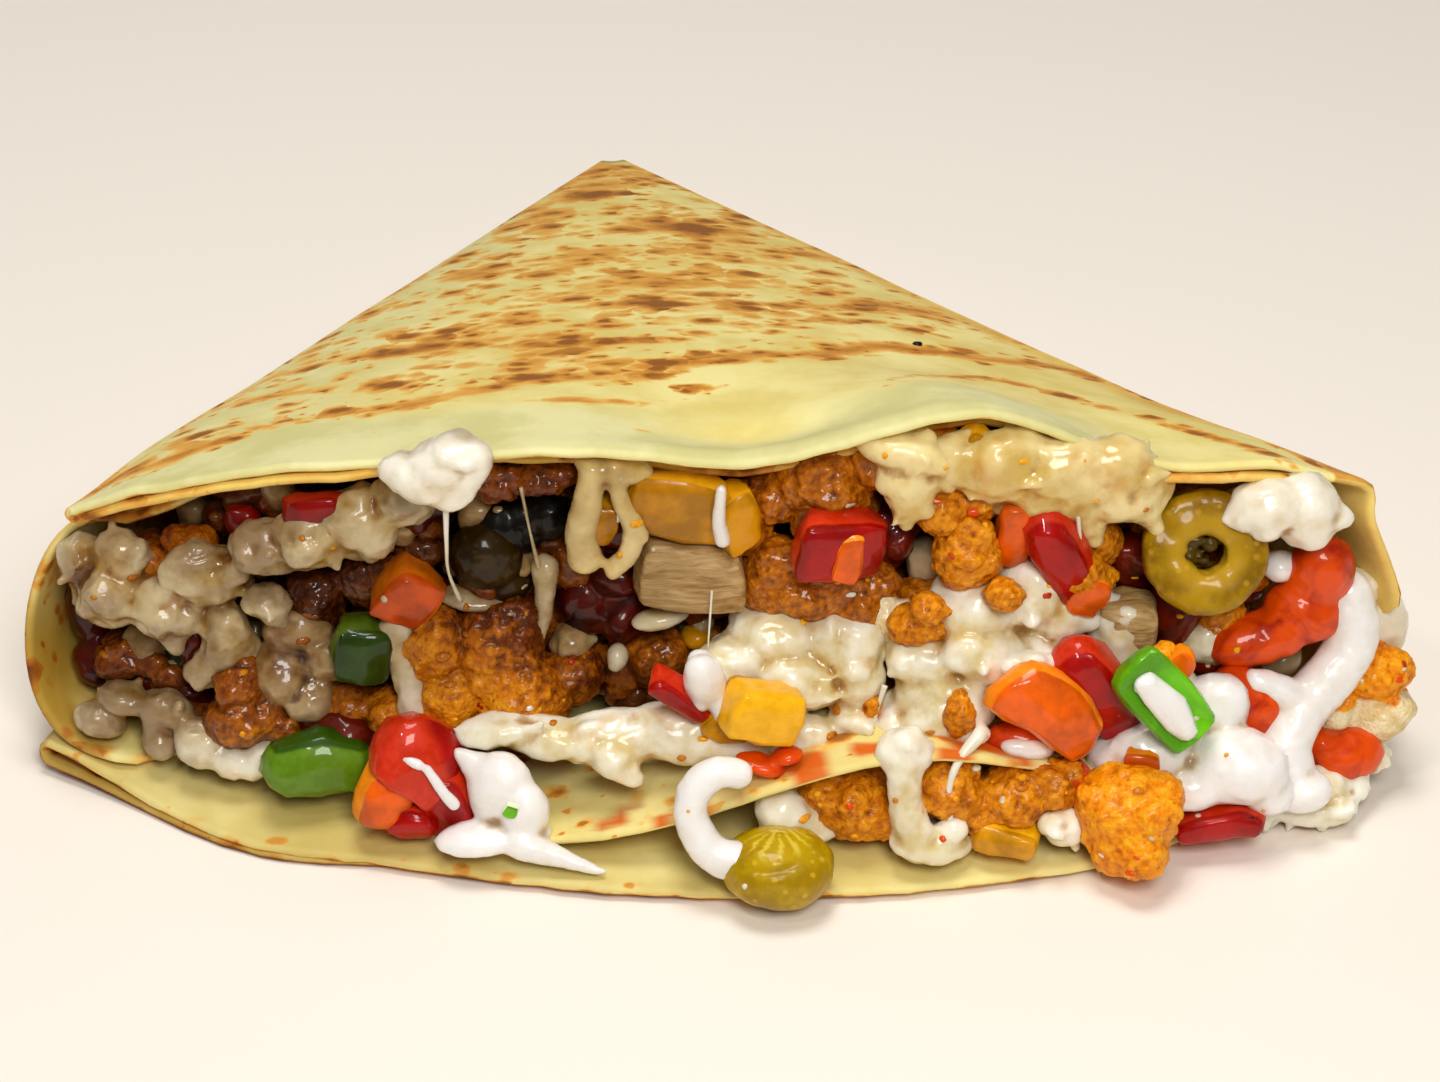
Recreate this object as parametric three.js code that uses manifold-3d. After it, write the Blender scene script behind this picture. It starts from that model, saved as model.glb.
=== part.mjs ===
// A stuffed savory crepe, folded six times into a fan. The round sheet is pleated about its own centre, the tip
// of the fan, and its open mouth shows crumbed chicken, melted cheese, peppers, olives, tomato and cream.
//
// Units are millimetres and +Z is up. While the food is laid out, x = 0 runs through the middle of the mouth,
// y = 0 is the mouth's plane with the tip on the +Y side, and z = 0 is the surface that the crepe rests on. The
// group is moved at the end, so that its origin is the middle of the underside's bounding box.
import * as THREE from "three";
import { mergeVertices } from "three/addons/utils/BufferGeometryUtils.js";
import Module from "manifold-3d";

const wasm = await Module();
wasm.setup();

// ---------------------------------------------------------------------------------------------- sizes
const TIP_X = -21; // the tip of the fan
const TIP_Y = 206;
const TIP_RADIUS = 4; // the pleats start this far from the tip
const SHEET = 1.4; // thickness of the crepe
const PITCH = 2.6; // from one pressed sheet to the next
const PINCH = 0.5; // share of the thickness that is left at the tip
const PINCH_UNTIL = 0.9; // share of the way to the mouth where the sheets have their whole thickness
const HALF_WIDTH = 97; // half of the mouth, between its upper corners
const CORNER_HEIGHT = 46.5; // the top sheet at its left corner
const CROWN_RISE = 18.5; // how much higher it is in the middle
const CORNER_LIP = 1.6; // the upper right corner's edge stands out by this much
const CLEARANCE = 0.3; // gap between pieces that touch
const COARSE = 6; // degrees between the divisions of the lower sheets
const FINE = 4; // and of those above the filling
const STATIONS = [0, 0.3, 0.62, 0.76, 0.88, 1]; // rings of the sheet, as shares of the way from the tip to the mouth

// ------------------------------------------------------------------------------------------ materials
const finish = (color, roughness) => new THREE.MeshStandardMaterial({ color, roughness, metalness: 0 });
const CREPE = finish(0xe9d58c, 0.7);
const FILLING = finish(0x8a4a1c, 0.6);
const CHICKEN = finish(0xc87a1e, 0.65);
const BREAST = finish(0xcdb791, 0.6);
const CHEESE = finish(0xe8ddb4, 0.4);
const CREAM = finish(0xf8f4ea, 0.35);
const GREEN_OLIVE = finish(0xa98c2a, 0.35);
const BLACK_OLIVE = finish(0x1d1a14, 0.35);
const RED_PEPPER = finish(0xb81d0c, 0.25);
const ORANGE_PEPPER = finish(0xe8701a, 0.25);
const YELLOW_PEPPER = finish(0xe3b40c, 0.3);
const GREEN_PEPPER = finish(0x4c8a10, 0.3);
const TOMATO = finish(0xc93a10, 0.2);

// ------------------------------------------------------------------------------------------- formulas
const lerp = THREE.MathUtils.lerp;
const degrees = THREE.MathUtils.degToRad;
const bell = (x, centre, width) => Math.exp(-(((x - centre) / width) ** 2));
const smoothstep = (x, from, to) => THREE.MathUtils.smoothstep(x, from, to);

// ---------------------------------------------------------------------------------------- the crepe
// Front heights of the sheets. All three sheets above the filling share one wave, and so do the two below it.
const crown = (x) => {
  const across = THREE.MathUtils.clamp((x + HALF_WIDTH) / (2 * HALF_WIDTH + 3), 0.001, 0.999);
  return CORNER_HEIGHT + CROWN_RISE * Math.sin(Math.PI * across) ** 0.7;
};
const lip = (x) => 7 * bell(x, 38, 18) - 3.5 * bell(x, 3, 15) + 3.8 * bell(x, 84, 13);
const tipRise = (x) => 4.5 * bell(x, -104, 13);
const level = (index) => SHEET / 2 + index * PITCH;
const floorFront = (x) => -15 + 27 * ((x - 5) / 100) ** 2 - 3.6 * bell(x, -72, 15) - 3.6 * bell(x, 97, 14);
const topFront = (x) => 9 + 10 * ((x - 5) / 95) ** 2;

// Each sheet is a sector about the tip: its place in the stack, its two edges in degrees from the middle, its
// height at the mouth, and where its front edge is.
const SHEETS = {
  floor: { index: 0, left: -23.7, right: 30, height: (x) => level(0) + tipRise(x) / 3, front: floorFront },
  lower: { index: 1, left: -23.7, right: 29.4, height: (x) => level(1) + tipRise(x), front: (x) => floorFront(x) + 1.5 },
  inner: {
    index: 2,
    left: -20.4,
    right: 27,
    height: (x) => level(2) + tipRise(x) + 15.5 * bell(x, 28, 36),
    front: (x) => -9 + 25 * (x / 100) ** 2,
  },
  cover: {
    index: 3,
    left: -20.9,
    right: 29,
    height: (x) => crown(x) - 2 * PITCH - 4.5 * bell(x, -89, 13),
    front: (x) => topFront(x) + lerp(6, -2.5, smoothstep(x, 50, 82)),
  },
  second: {
    index: 4,
    left: -22.2,
    right: 29.2,
    height: (x) => crown(x) - PITCH,
    front: (x) => topFront(x) - 2.5 * smoothstep(x, -98, -84),
  },
  top: { index: 5, left: -22.2, right: 30.5, height: crown, front: topFront },
};

// How thick the sheets are at a share of the way from the tip to the mouth.
const pinch = (share) => lerp(PINCH, 1, Math.min(1, share / PINCH_UNTIL));

// A point of a sheet's middle surface, at an angle and a share of the way from the tip to the mouth.
function sheetPoint(sheet, angle, share) {
  const tilt = degrees(angle);
  let mouthX = TIP_X;
  for (let pass = 0; pass < 5; pass++) mouthX = TIP_X + (TIP_Y - sheet.front(mouthX)) * Math.tan(tilt);
  const radius = lerp(TIP_RADIUS, (TIP_Y - sheet.front(mouthX)) / Math.cos(tilt), share);
  const base = level(sheet.index);
  const wave = sheet.index > 2 ? lip(mouthX) * smoothstep(share, 0.72, 1) : 0;
  return new THREE.Vector3(
    TIP_X + radius * Math.sin(tilt),
    TIP_Y - radius * Math.cos(tilt),
    pinch(share) * base + share * (sheet.height(mouthX) - base) + wave,
  );
}

// The folds between the sheets. Each one has a side, how far it swells beyond the sheets' edges at the mouth, how
// much more it does so below than above, and how round it is.
const FOLDS = {
  floorToLower: { side: -1, bulge: 0, sag: 0, round: 1 },
  lowerToTop: { side: 1, bulge: 11.5, sag: 0.5, round: 1, lip: CORNER_LIP },
  topToSecond: { side: -1, bulge: 0, sag: 0, round: 1 },
  secondToCover: { side: 1, bulge: 0, sag: 0, round: 1 },
  coverToInner: { side: -1, bulge: 14.6, sag: 0.1, round: 0.75 },
};

// A point of a fold that joins two sheets at their edges. Turn runs from -90 at the first sheet to 90 at the other.
function foldPoint(first, other, fold, turn, share) {
  const edge = (sheet) => (fold.side > 0 ? sheet.right : sheet.left);
  const angle = degrees((edge(first) + edge(other)) / 2);
  const a = sheetPoint(first, edge(first), share);
  const b = sheetPoint(other, edge(other), share);
  const half = b.clone().sub(a).multiplyScalar(0.5);
  const outwards = new THREE.Vector3(Math.cos(angle), Math.sin(angle), 0).multiplyScalar(fold.side);
  const tight = (pinch(share) * PITCH * Math.min(2, Math.abs(other.index - first.index))) / 2;
  const rise = Math.sin(degrees(turn));
  const swell = fold.bulge * share * (1 - fold.sag * rise * Math.sign(other.index - first.index));
  const corner = (fold.lip ?? 0) * share ** 8 * bell(turn, 48, 16);
  return a
    .add(half)
    .addScaledVector(half, rise)
    .addScaledVector(outwards, (tight + swell) * Math.cos(degrees(turn)) ** fold.round + corner);
}

// The route across the folded sheet, as a list of functions of the share, from one free edge to the other. Both
// free edges can be moved out by an angle. Sheets that lie on each other are divided at the same angles.
function route(margin) {
  const steps = [];
  const across = (sheet, from, to, step) => {
    const way = Math.sign(to - from);
    const angles = [from];
    for (let k = -40; k <= 40; k++) {
      const angle = way * k * step;
      if ((angle - from) * way > step / 3 && (to - angle) * way > step / 3) angles.push(angle);
    }
    for (const angle of [...angles, to]) steps.push((share) => sheetPoint(sheet, angle, share));
  };
  const round = (first, other, fold, count) => {
    for (let i = 1; i < count; i++)
      steps.push((share) => foldPoint(first, other, fold, lerp(-90, 90, i / count), share));
  };
  const { floor, lower, inner, cover, second, top } = SHEETS;
  across(floor, floor.right + margin, floor.left, COARSE);
  round(floor, lower, FOLDS.floorToLower, 3);
  across(lower, lower.left, lower.right, COARSE);
  round(lower, top, FOLDS.lowerToTop, 8);
  across(top, top.right, top.left, FINE);
  round(top, second, FOLDS.topToSecond, 3);
  across(second, second.left, second.right, FINE);
  round(second, cover, FOLDS.secondToCover, 3);
  across(cover, cover.right, cover.left, FINE);
  round(cover, inner, FOLDS.coverToInner, 8);
  across(inner, inner.left, inner.right + margin, COARSE);
  return steps;
}

// The folded sheet as one closed body: a face on each side of its middle surface, and a rim all round. All of its
// surfaces can be moved out by an amount.
function foldedSheet(extra = 0) {
  const margin = extra / (TIP_Y - 20);
  const steps = route(THREE.MathUtils.radToDeg(margin));
  const shares = STATIONS.map((share) => share * (1 + margin));
  const points = steps.map((step) => shares.map((share) => step(share)));
  const last = { step: steps.length - 1, share: shares.length - 1 };
  const at = (i, j) => points[THREE.MathUtils.clamp(i, 0, last.step)][THREE.MathUtils.clamp(j, 0, last.share)];
  const vertices = [];
  for (const side of [1, -1])
    steps.forEach((_, i) =>
      shares.forEach((share, j) => {
        const along = at(i + 1, j).clone().sub(at(i - 1, j));
        const outwards = at(i, j + 1).clone().sub(at(i, j - 1));
        const normal = along.cross(outwards).normalize();
        const half = (SHEET / 2 + extra) * pinch(share);
        vertices.push(...at(i, j).clone().addScaledVector(normal, side * half));
      }),
    );
  const upper = (i, j) => i * shares.length + j;
  const under = (i, j) => (steps.length + i) * shares.length + j;
  const faces = [];
  const quad = (a, b, c, d) => faces.push(a, b, c, a, c, d);
  for (let i = 0; i < last.step; i++) {
    for (let j = 0; j < last.share; j++) {
      quad(upper(i, j), upper(i + 1, j), upper(i + 1, j + 1), upper(i, j + 1));
      quad(under(i, j), under(i, j + 1), under(i + 1, j + 1), under(i + 1, j));
    }
    quad(upper(i, 0), under(i, 0), under(i + 1, 0), upper(i + 1, 0));
    quad(upper(i, last.share), upper(i + 1, last.share), under(i + 1, last.share), under(i, last.share));
  }
  for (let j = 0; j < last.share; j++) {
    quad(upper(0, j), upper(0, j + 1), under(0, j + 1), under(0, j));
    quad(upper(last.step, j), under(last.step, j), under(last.step, j + 1), upper(last.step, j + 1));
  }
  return solidFrom(vertices, faces);
}

// ------------------------------------------------------------------------------------- solids, meshes
function solidFrom(vertices, faces) {
  const geometry = new THREE.BufferGeometry();
  geometry.setAttribute("position", new THREE.Float32BufferAttribute(vertices, 3));
  geometry.setIndex(faces);
  return solidOf(geometry);
}

function solidOf(geometry) {
  const bare = new THREE.BufferGeometry().setAttribute("position", geometry.getAttribute("position"));
  if (geometry.index) bare.setIndex(geometry.index);
  const merged = mergeVertices(bare, 1e-4);
  return new wasm.Manifold(
    new wasm.Mesh({
      numProp: 3,
      vertProperties: new Float32Array(merged.attributes.position.array),
      triVerts: new Uint32Array(merged.index.array),
    }),
  );
}

function meshOf(name, solid, material) {
  const { vertProperties, triVerts, numProp } = solid.getMesh();
  const corners = [];
  for (let i = 0; i < vertProperties.length; i += numProp) corners.push(...vertProperties.subarray(i, i + 3));
  const geometry = new THREE.BufferGeometry();
  geometry.setAttribute("position", new THREE.Float32BufferAttribute(corners, 3));
  geometry.setIndex([...triVerts]);
  geometry.computeVertexNormals();
  const mesh = new THREE.Mesh(geometry, material);
  mesh.name = name;
  return mesh;
}

// ------------------------------------------------------------------------- shapes of the filling's pieces
// Each of these returns a function that makes the shape's solid, with its surface moved out by an amount.
const placed = (geometry, { at, turn = [0, 0, 0] }) => {
  const rotation = new THREE.Euler(...turn.map(degrees));
  geometry.applyMatrix4(new THREE.Matrix4().makeRotationFromEuler(rotation));
  return solidOf(geometry.translate(...at));
};

// Moves each vertex of a geometry with a function that changes the vector that it is given.
function reshaped(geometry, change) {
  const bare = mergeVertices(
    new THREE.BufferGeometry().setAttribute("position", geometry.getAttribute("position")).setIndex(geometry.index),
    1e-5,
  );
  const positions = bare.getAttribute("position");
  const point = new THREE.Vector3();
  for (let i = 0; i < positions.count; i++) {
    change(point.fromBufferAttribute(positions, i));
    positions.setXYZ(i, point.x, point.y, point.z);
  }
  return bare;
}

// A ball pressed to a size, whose surface swells and dips by a share of its radius.
const lump = ({ at, size, turn, seed = 1, rough = 0.1, detail = 1 }) => (grow) => {
  const half = size.map((length) => length / 2 + grow);
  const wave = (d, i) => Math.sin(3.3 * d.x + 2.1 * seed + i) * Math.sin(3.9 * d.y + seed - i) * Math.sin(3.5 * d.z + i);
  const ball = reshaped(new THREE.IcosahedronGeometry(1, detail), (d) => {
    const swell = 1.04 + rough * (wave(d, 0.7) + wave(d, 2.9));
    d.set(d.x * half[0], d.y * half[1], d.z * half[2]).multiplyScalar(swell);
  });
  return placed(ball, { at, turn });
};

// A cube or strip of flesh cut from a curved wall: its faces are slightly swollen and it is bent about Y.
const dice = ({ at, size, turn, bend = 0.1 }) => (grow) => {
  const [x, y, z] = size.map((length) => length + 2 * grow);
  const block = reshaped(new THREE.BoxGeometry(1, 1, 1, 3, 1, 2), (d) => {
    const round = 1.06 - 0.5 * (d.x * d.x + d.z * d.z) ** 2;
    const arch = bend * x * (0.25 - d.x * d.x);
    d.set(d.x * x * round, d.y * y, d.z * z * round + arch);
  });
  return placed(block, { at, turn });
};

// A slice of olive: a thick ring about Z, with rounded rims.
const ring = ({ at, across, thick, hole, turn }) => (grow) => {
  const outer = across / 2 + grow;
  const inner = hole / 2 - grow;
  const half = thick / 2 + grow;
  const profile = [
    [inner, -half * 0.8],
    [inner + 1, -half],
    [outer - 1.6, -half],
    [outer, -half * 0.45],
    [outer, half * 0.45],
    [outer - 1.6, half],
    [inner + 1, half],
    [inner, half * 0.8],
    [inner, -half * 0.8],
  ].map((point) => new THREE.Vector2(...point));
  const turned = new THREE.LatheGeometry(profile, 14).rotateX(Math.PI / 2);
  return placed(turned, { at, turn });
};

// A rounded cord along a curve through some points, which tapers at both ends.
const cord = ({ path, radius, steps = 5, sides = 6 }) => (grow) => {
  const curve = new THREE.CatmullRomCurve3(path.map((point) => new THREE.Vector3(...point)));
  const { normals, binormals } = curve.computeFrenetFrames(steps);
  const vertices = [];
  for (let i = 0; i <= steps; i++) {
    const middle = curve.getPointAt(i / steps);
    const end = Math.min(i, steps - i) / steps;
    const girth = lerp(radius[0], radius[1], i / steps) * Math.min(1, 0.55 + 3 * end) + grow;
    for (let k = 0; k < sides; k++) {
      const around = (2 * Math.PI * k) / sides;
      const rim = middle.clone().addScaledVector(normals[i], girth * Math.cos(around));
      vertices.push(...rim.addScaledVector(binormals[i], girth * Math.sin(around)));
    }
  }
  for (const i of [0, steps]) {
    const outwards = curve.getTangentAt(i / steps).multiplyScalar((i ? 0.5 : -0.5) * radius[i ? 1 : 0]);
    vertices.push(...curve.getPointAt(i / steps).add(outwards));
  }
  const faces = [];
  const at = (i, k) => i * sides + (k % sides);
  for (let i = 0; i < steps; i++)
    for (let k = 0; k < sides; k++) {
      faces.push(at(i, k), at(i, k + 1), at(i + 1, k + 1));
      faces.push(at(i, k), at(i + 1, k + 1), at(i + 1, k));
    }
  const tip = (steps + 1) * sides;
  for (let k = 0; k < sides; k++) {
    faces.push(at(0, k + 1), at(0, k), tip);
    faces.push(at(steps, k), at(steps, k + 1), tip + 1);
  }
  return solidFrom(vertices, faces);
};

// Several shapes melted into one.
const melted = (...shapes) => (grow) => shapes.map((shape) => shape(grow)).reduce((sum, next) => sum.add(next));

// -------------------------------------------------------------------------- the filling inside the crepe
// A body between two sheets, from one share of the way to the mouth to another. Its outline at each share is a
// loop: over the top from left to right, down a swollen right side, and back along the underside.
function stuffing({ lower, upper, left, right, from, to, leftBulge, rightBulge }) {
  const gap = (share) => (SHEET / 2 + CLEARANCE) * pinch(share);
  const loop = (share) => {
    const points = [];
    const row = (sheet, angles, side) =>
      angles.forEach((angle) => {
        const point = sheetPoint(sheet, angle, share);
        points.push(point.setZ(point.z + side * (gap(share) + 1)));
      });
    const angles = Array.from({ length: 9 }, (_, i) => lerp(left, right, i / 8));
    const swell = (bulge, side) => {
      const angle = degrees(side > 0 ? right : left);
      const outwards = new THREE.Vector3(Math.cos(angle), Math.sin(angle), 0).multiplyScalar(side);
      const low = sheetPoint(lower, side > 0 ? right : left, share);
      const high = sheetPoint(upper, side > 0 ? right : left, share);
      const ends = side > 0 ? [high.z - gap(share), low.z + gap(share)] : [low.z + gap(share), high.z - gap(share)];
      for (const turn of [0.25, 0.5, 0.75]) {
        const out = bulge * share * Math.sin(Math.PI * turn);
        const level = high.clone().lerp(low, side > 0 ? turn : 1 - turn);
        points.push(level.setZ(lerp(ends[0], ends[1], turn)).addScaledVector(outwards, out));
      }
    };
    row(upper, angles, -1);
    swell(rightBulge, 1);
    row(lower, angles.toReversed(), 1);
    swell(leftBulge, -1);
    return points;
  };
  const shares = Array.from({ length: 4 }, (_, i) => lerp(from, to, i / 3));
  const vertices = [];
  const faces = [];
  const rings = shares.map(loop);
  const count = rings[0].length;
  // The front bulges and dips like the pieces that it is made of.
  const front = rings.at(-1);
  const middle = front.reduce((sum, point) => sum.add(point), new THREE.Vector3()).divideScalar(count);
  for (const shrink of [0.72, 0.4])
    rings.push(
      front.map((point, i) => {
        const inner = point.clone().lerp(middle, 1 - shrink);
        return inner.setY(inner.y + 1.5 * Math.sin(2.3 * i + 9 * shrink) - 1);
      }),
    );
  for (const ring of rings) for (const point of ring) vertices.push(...point);
  const back = rings[0].reduce((sum, point) => sum.add(point), new THREE.Vector3()).divideScalar(count);
  vertices.push(...back, ...middle);
  const at = (i, k) => i * count + (k % count);
  for (let i = 0; i + 1 < rings.length; i++)
    for (let k = 0; k < count; k++) {
      faces.push(at(i, k), at(i + 1, k + 1), at(i, k + 1));
      faces.push(at(i, k), at(i + 1, k), at(i + 1, k + 1));
    }
  const tip = rings.length * count;
  for (let k = 0; k < count; k++) {
    faces.push(at(0, k), at(0, k + 1), tip);
    faces.push(at(rings.length - 1, k + 1), at(rings.length - 1, k), tip + 1);
  }
  return solidFrom(vertices, faces);
}

// ------------------------------------------------------------------------- the pieces at the open mouth
// In order from the front: each one is cut where it is pressed against those before it.
const pieces = [];
const put = (name, material, shape) => pieces.push({ name, material, shape });

// The front edge.
put("olive_front", GREEN_OLIVE, lump({ at: [8.6, -15, 6.9], size: [17, 14.5, 12], rough: 0.02 }));
put("cream_squiggle", CREAM, cord({
  path: [[-1.5, -11.5, 19.5], [-4.4, -13.5, 16.5], [-6, -14, 12], [-3, -14.5, 8.8], [1, -15.2, 7.4]],
  radius: [2.6, 2.8],
}));
put("cheese_leg", CHEESE, melted(
  cord({ path: [[27, -7.5, 24], [27.5, -9.5, 15.8], [28.6, -10.5, 9.8], [30, -9.5, 5.6]], radius: [2.4, 3.4] }),
  cord({ path: [[38, -6, 24], [34.8, -8, 18], [34.2, -9, 10.9], [33, -9, 6]], radius: [1, 1.4] }),
  lump({ at: [31, -9, 6.6], size: [13, 9, 4.6], rough: 0.05 }),
));
put("cream_bottom_left", CREAM, lump({ at: [-35, -5, 7.6], size: [14, 11, 8], seed: 4 }));
put("chicken_gold_low", CHICKEN, lump({ at: [61.3, -7.5, 9.9], size: [15.5, 15, 18.6], seed: 3, rough: 0.05, detail: 2 }));
put("pepper_yellow_low", YELLOW_PEPPER, dice({ at: [43, -4, 7.2], size: [10, 7, 5.5], turn: [0, 8, -10] }));
put("cheese_low_bit", CHEESE, lump({ at: [51.6, -7, 7.6], size: [6, 6, 6.6], seed: 5 }));
put("chicken_low_left", CHICKEN, lump({ at: [21.4, -1, 9.9], size: [14, 13, 11], seed: 6 }));
put("chicken_low_right", CHICKEN, lump({ at: [40, -0.5, 11.9], size: [17, 12, 10], seed: 7 }));
put("cheese_low_middle", CHEESE, lump({ at: [13, -4, 8], size: [14, 8, 6.6], seed: 8 }));

// The right side.
put("mayonnaise_swirl", CREAM, melted(
  cord({
    path: [[95.4, 14, 34.5], [94.3, 11, 30], [90.4, 7.5, 24.5], [86, 4.5, 19.5], [85.4, 2, 13], [88.5, 3, 8.2]],
    radius: [3.4, 4],
    steps: 12,
  }),
  cord({ path: [[87.4, 6.5, 24.3], [82.3, 7.5, 21.7]], radius: [2.6, 2.2], steps: 3 }),
));
put("olive_ring", GREEN_OLIVE, ring({ at: [72.1, 12.4, 44.6], across: 18.8, thick: 6.5, hole: 6.4, turn: [62, 0, 0] }));
put("cream_top_right", CREAM, lump({ at: [84, 13.5, 46.6], size: [16, 12, 12], seed: 2 }));
put("pepper_green_ring", GREEN_PEPPER, dice({ at: [66.1, -1, 28], size: [19, 6, 8], turn: [-20, 40, 0], bend: 0.1 }));
put("pepper_orange_right", ORANGE_PEPPER, dice({ at: [48.4, -1, 24.8], size: [17, 7, 11.5], turn: [-15, 22, 0], bend: 0.25 }));
put("pepper_red_right", RED_PEPPER, dice({ at: [57.5, 3.5, 26.5], size: [7, 8, 15], turn: [0, -14, 0] }));
put("tomato_right", TOMATO, melted(
  lump({ at: [87.5, 16, 35.5], size: [13.5, 12, 15], seed: 4, rough: 0.06 }),
  lump({ at: [80.5, 14.5, 29], size: [15, 11, 10], turn: [0, -28, 0], seed: 5, rough: 0.06 }),
));
put("tomato_low_right", TOMATO, lump({ at: [95, 10, 11.6], size: [11.5, 10, 8.6], seed: 6, rough: 0.05 }));
put("chicken_right", CHICKEN, lump({ at: [99, 16, 19.8], size: [11.5, 12, 15.5], seed: 7 }));
put("cream_right", CREAM, melted(
  lump({ at: [73, -0.5, 12.5], size: [26, 13, 11], turn: [0, 12, 0], seed: 3, rough: 0.07 }),
  lump({ at: [69.5, 5, 18], size: [17, 12, 13], turn: [0, 25, 0], seed: 9, rough: 0.07 }),
));
put("pepper_red_low", RED_PEPPER, dice({ at: [75, -0.2, 6.5], size: [13.5, 7, 4], turn: [0, -6, 0] }));

// The middle.
put("cream_top_left", CREAM, melted(
  lump({ at: [-36.5, 7.2, 64.6], size: [12, 10, 6.6], seed: 3, rough: 0.08 }),
  lump({ at: [-42.6, 5.6, 60.2], size: [12, 9, 8], turn: [0, -24, 0], seed: 4, rough: 0.08 }),
));
put("pepper_yellow_dice", YELLOW_PEPPER, dice({ at: [6.2, -2, 26.6], size: [10.6, 8, 7.6], turn: [0, 12, 8], bend: 0 }));
put("pepper_pink", RED_PEPPER, dice({ at: [-5.2, 0.5, 24.6], size: [8.5, 6, 4], turn: [0, 38, 0] }));
put("cheese_drip_big", CHEESE, melted(
  lump({ at: [27.4, 10.5, 61.6], size: [14, 9, 9], seed: 2, rough: 0.06 }),
  cord({ path: [[27, 10, 60.5], [27.2, 9.5, 55.7], [28, 9.5, 51]], radius: [4, 1.8], steps: 4 }),
));
put("pepper_red_dice", RED_PEPPER, dice({ at: [17.4, 9.5, 47.8], size: [12, 8, 7.4], turn: [0, 4, 10], bend: 0 }));
put("cheese_drips_middle", CHEESE, melted(
  cord({ path: [[-19.5, 11.5, 58], [-20.6, 11, 51], [-21.4, 11.5, 43.4]], radius: [3, 2.4], steps: 4 }),
  cord({ path: [[-15.4, 10.5, 58], [-13.6, 10.5, 49], [-15.2, 10.5, 42.4]], radius: [1.8, 1.9], steps: 5 }),
  lump({ at: [-17.5, 12, 58.2], size: [10, 6, 4], rough: 0.05 }),
));
put("cheese_sheet", CHEESE, melted(
  lump({ at: [-25, 1.5, 17.4], size: [24, 9, 7], seed: 2, turn: [0, 4, 0] }),
  lump({ at: [-7, 1, 18.2], size: [20, 9, 6.6], seed: 4 }),
  lump({ at: [9.5, 0, 19], size: [15, 9, 8], seed: 5, turn: [0, 14, 0] }),
));
put("cheese_centre", CHEESE, melted(
  lump({ at: [8, 6, 31.5], size: [19, 12, 14], seed: 6 }),
  lump({ at: [17.5, 3.5, 27.2], size: [15, 11, 15.5], seed: 7 }),
));
put("cheese_right", CHEESE, melted(
  lump({ at: [36.6, 4, 28], size: [19, 12, 14], seed: 2 }),
  lump({ at: [43.9, 9, 37.6], size: [16, 11, 13], seed: 8 }),
));
put("pepper_red_big", RED_PEPPER, dice({ at: [-45.4, 0.5, 13.4], size: [15.5, 11, 14], turn: [-20, 12, 0], bend: 0.12 }));
put("pepper_green_strip", GREEN_PEPPER, dice({ at: [-61.8, 5.6, 10.2], size: [13.5, 8, 7], turn: [0, 14, 12], bend: 0.15 }));
put("chicken_centre", CHICKEN, lump({ at: [15, 15, 39.6], size: [22, 14, 12.5], seed: 9 }));
put("chicken_centre_top", CHICKEN, lump({ at: [16, 17.5, 54.4], size: [17, 12, 9], seed: 10 }));
put("chicken_big", CHICKEN, lump({ at: [-32.5, 12, 24.4], size: [27, 15, 15], seed: 11, detail: 2 }));
put("cheese_band", CHEESE, cord({
  path: [[-47.8, 12, 30], [-47.3, 9.5, 22.6], [-45.6, 8, 20]],
  radius: [2.6, 3],
  steps: 4,
}));
put("pepper_green_dice", GREEN_PEPPER, dice({ at: [-54.6, 12, 27.6], size: [7.4, 7, 7.4], bend: 0 }));
put("pepper_orange_left", ORANGE_PEPPER, dice({ at: [-46.6, 14, 37], size: [9.6, 7, 8.4], turn: [0, 42, 0], bend: 0 }));
put("pepper_yellow_big", YELLOW_PEPPER, dice({ at: [-3.6, 13.5, 52.6], size: [19, 9, 11], turn: [0, -4, 0], bend: 0.1 }));
put("breast_slice", BREAST, dice({ at: [-4.5, 13, 39.6], size: [14, 9, 9.6], turn: [0, 8, 0], bend: 0 }));
put("cheese_top_right", CHEESE, melted(
  lump({ at: [43, 12.6, 58.6], size: [18, 10, 9.4], seed: 3 }),
  lump({ at: [56.4, 12.4, 54.2], size: [17, 10, 11], turn: [0, 8, 0], seed: 4 }),
));
put("chicken_gold_upper", CHICKEN, lump({ at: [35, 12.5, 46.8], size: [13, 11, 13], seed: 12 }));
put("pepper_red_top", RED_PEPPER, dice({ at: [49.6, 10.5, 46.4], size: [7.6, 7, 12.6], turn: [0, -10, 0] }));
put("chicken_gold_right", CHICKEN, lump({ at: [54.5, 14, 39.6], size: [10, 10, 12], seed: 13 }));
put("chicken_small", CHICKEN, lump({ at: [28.6, 12.5, 35.6], size: [10, 10, 8.6], seed: 14 }));
put("chicken_bit_right", BREAST, lump({ at: [61.5, 13.5, 32.5], size: [9, 9, 9.6], seed: 15 }));

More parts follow.
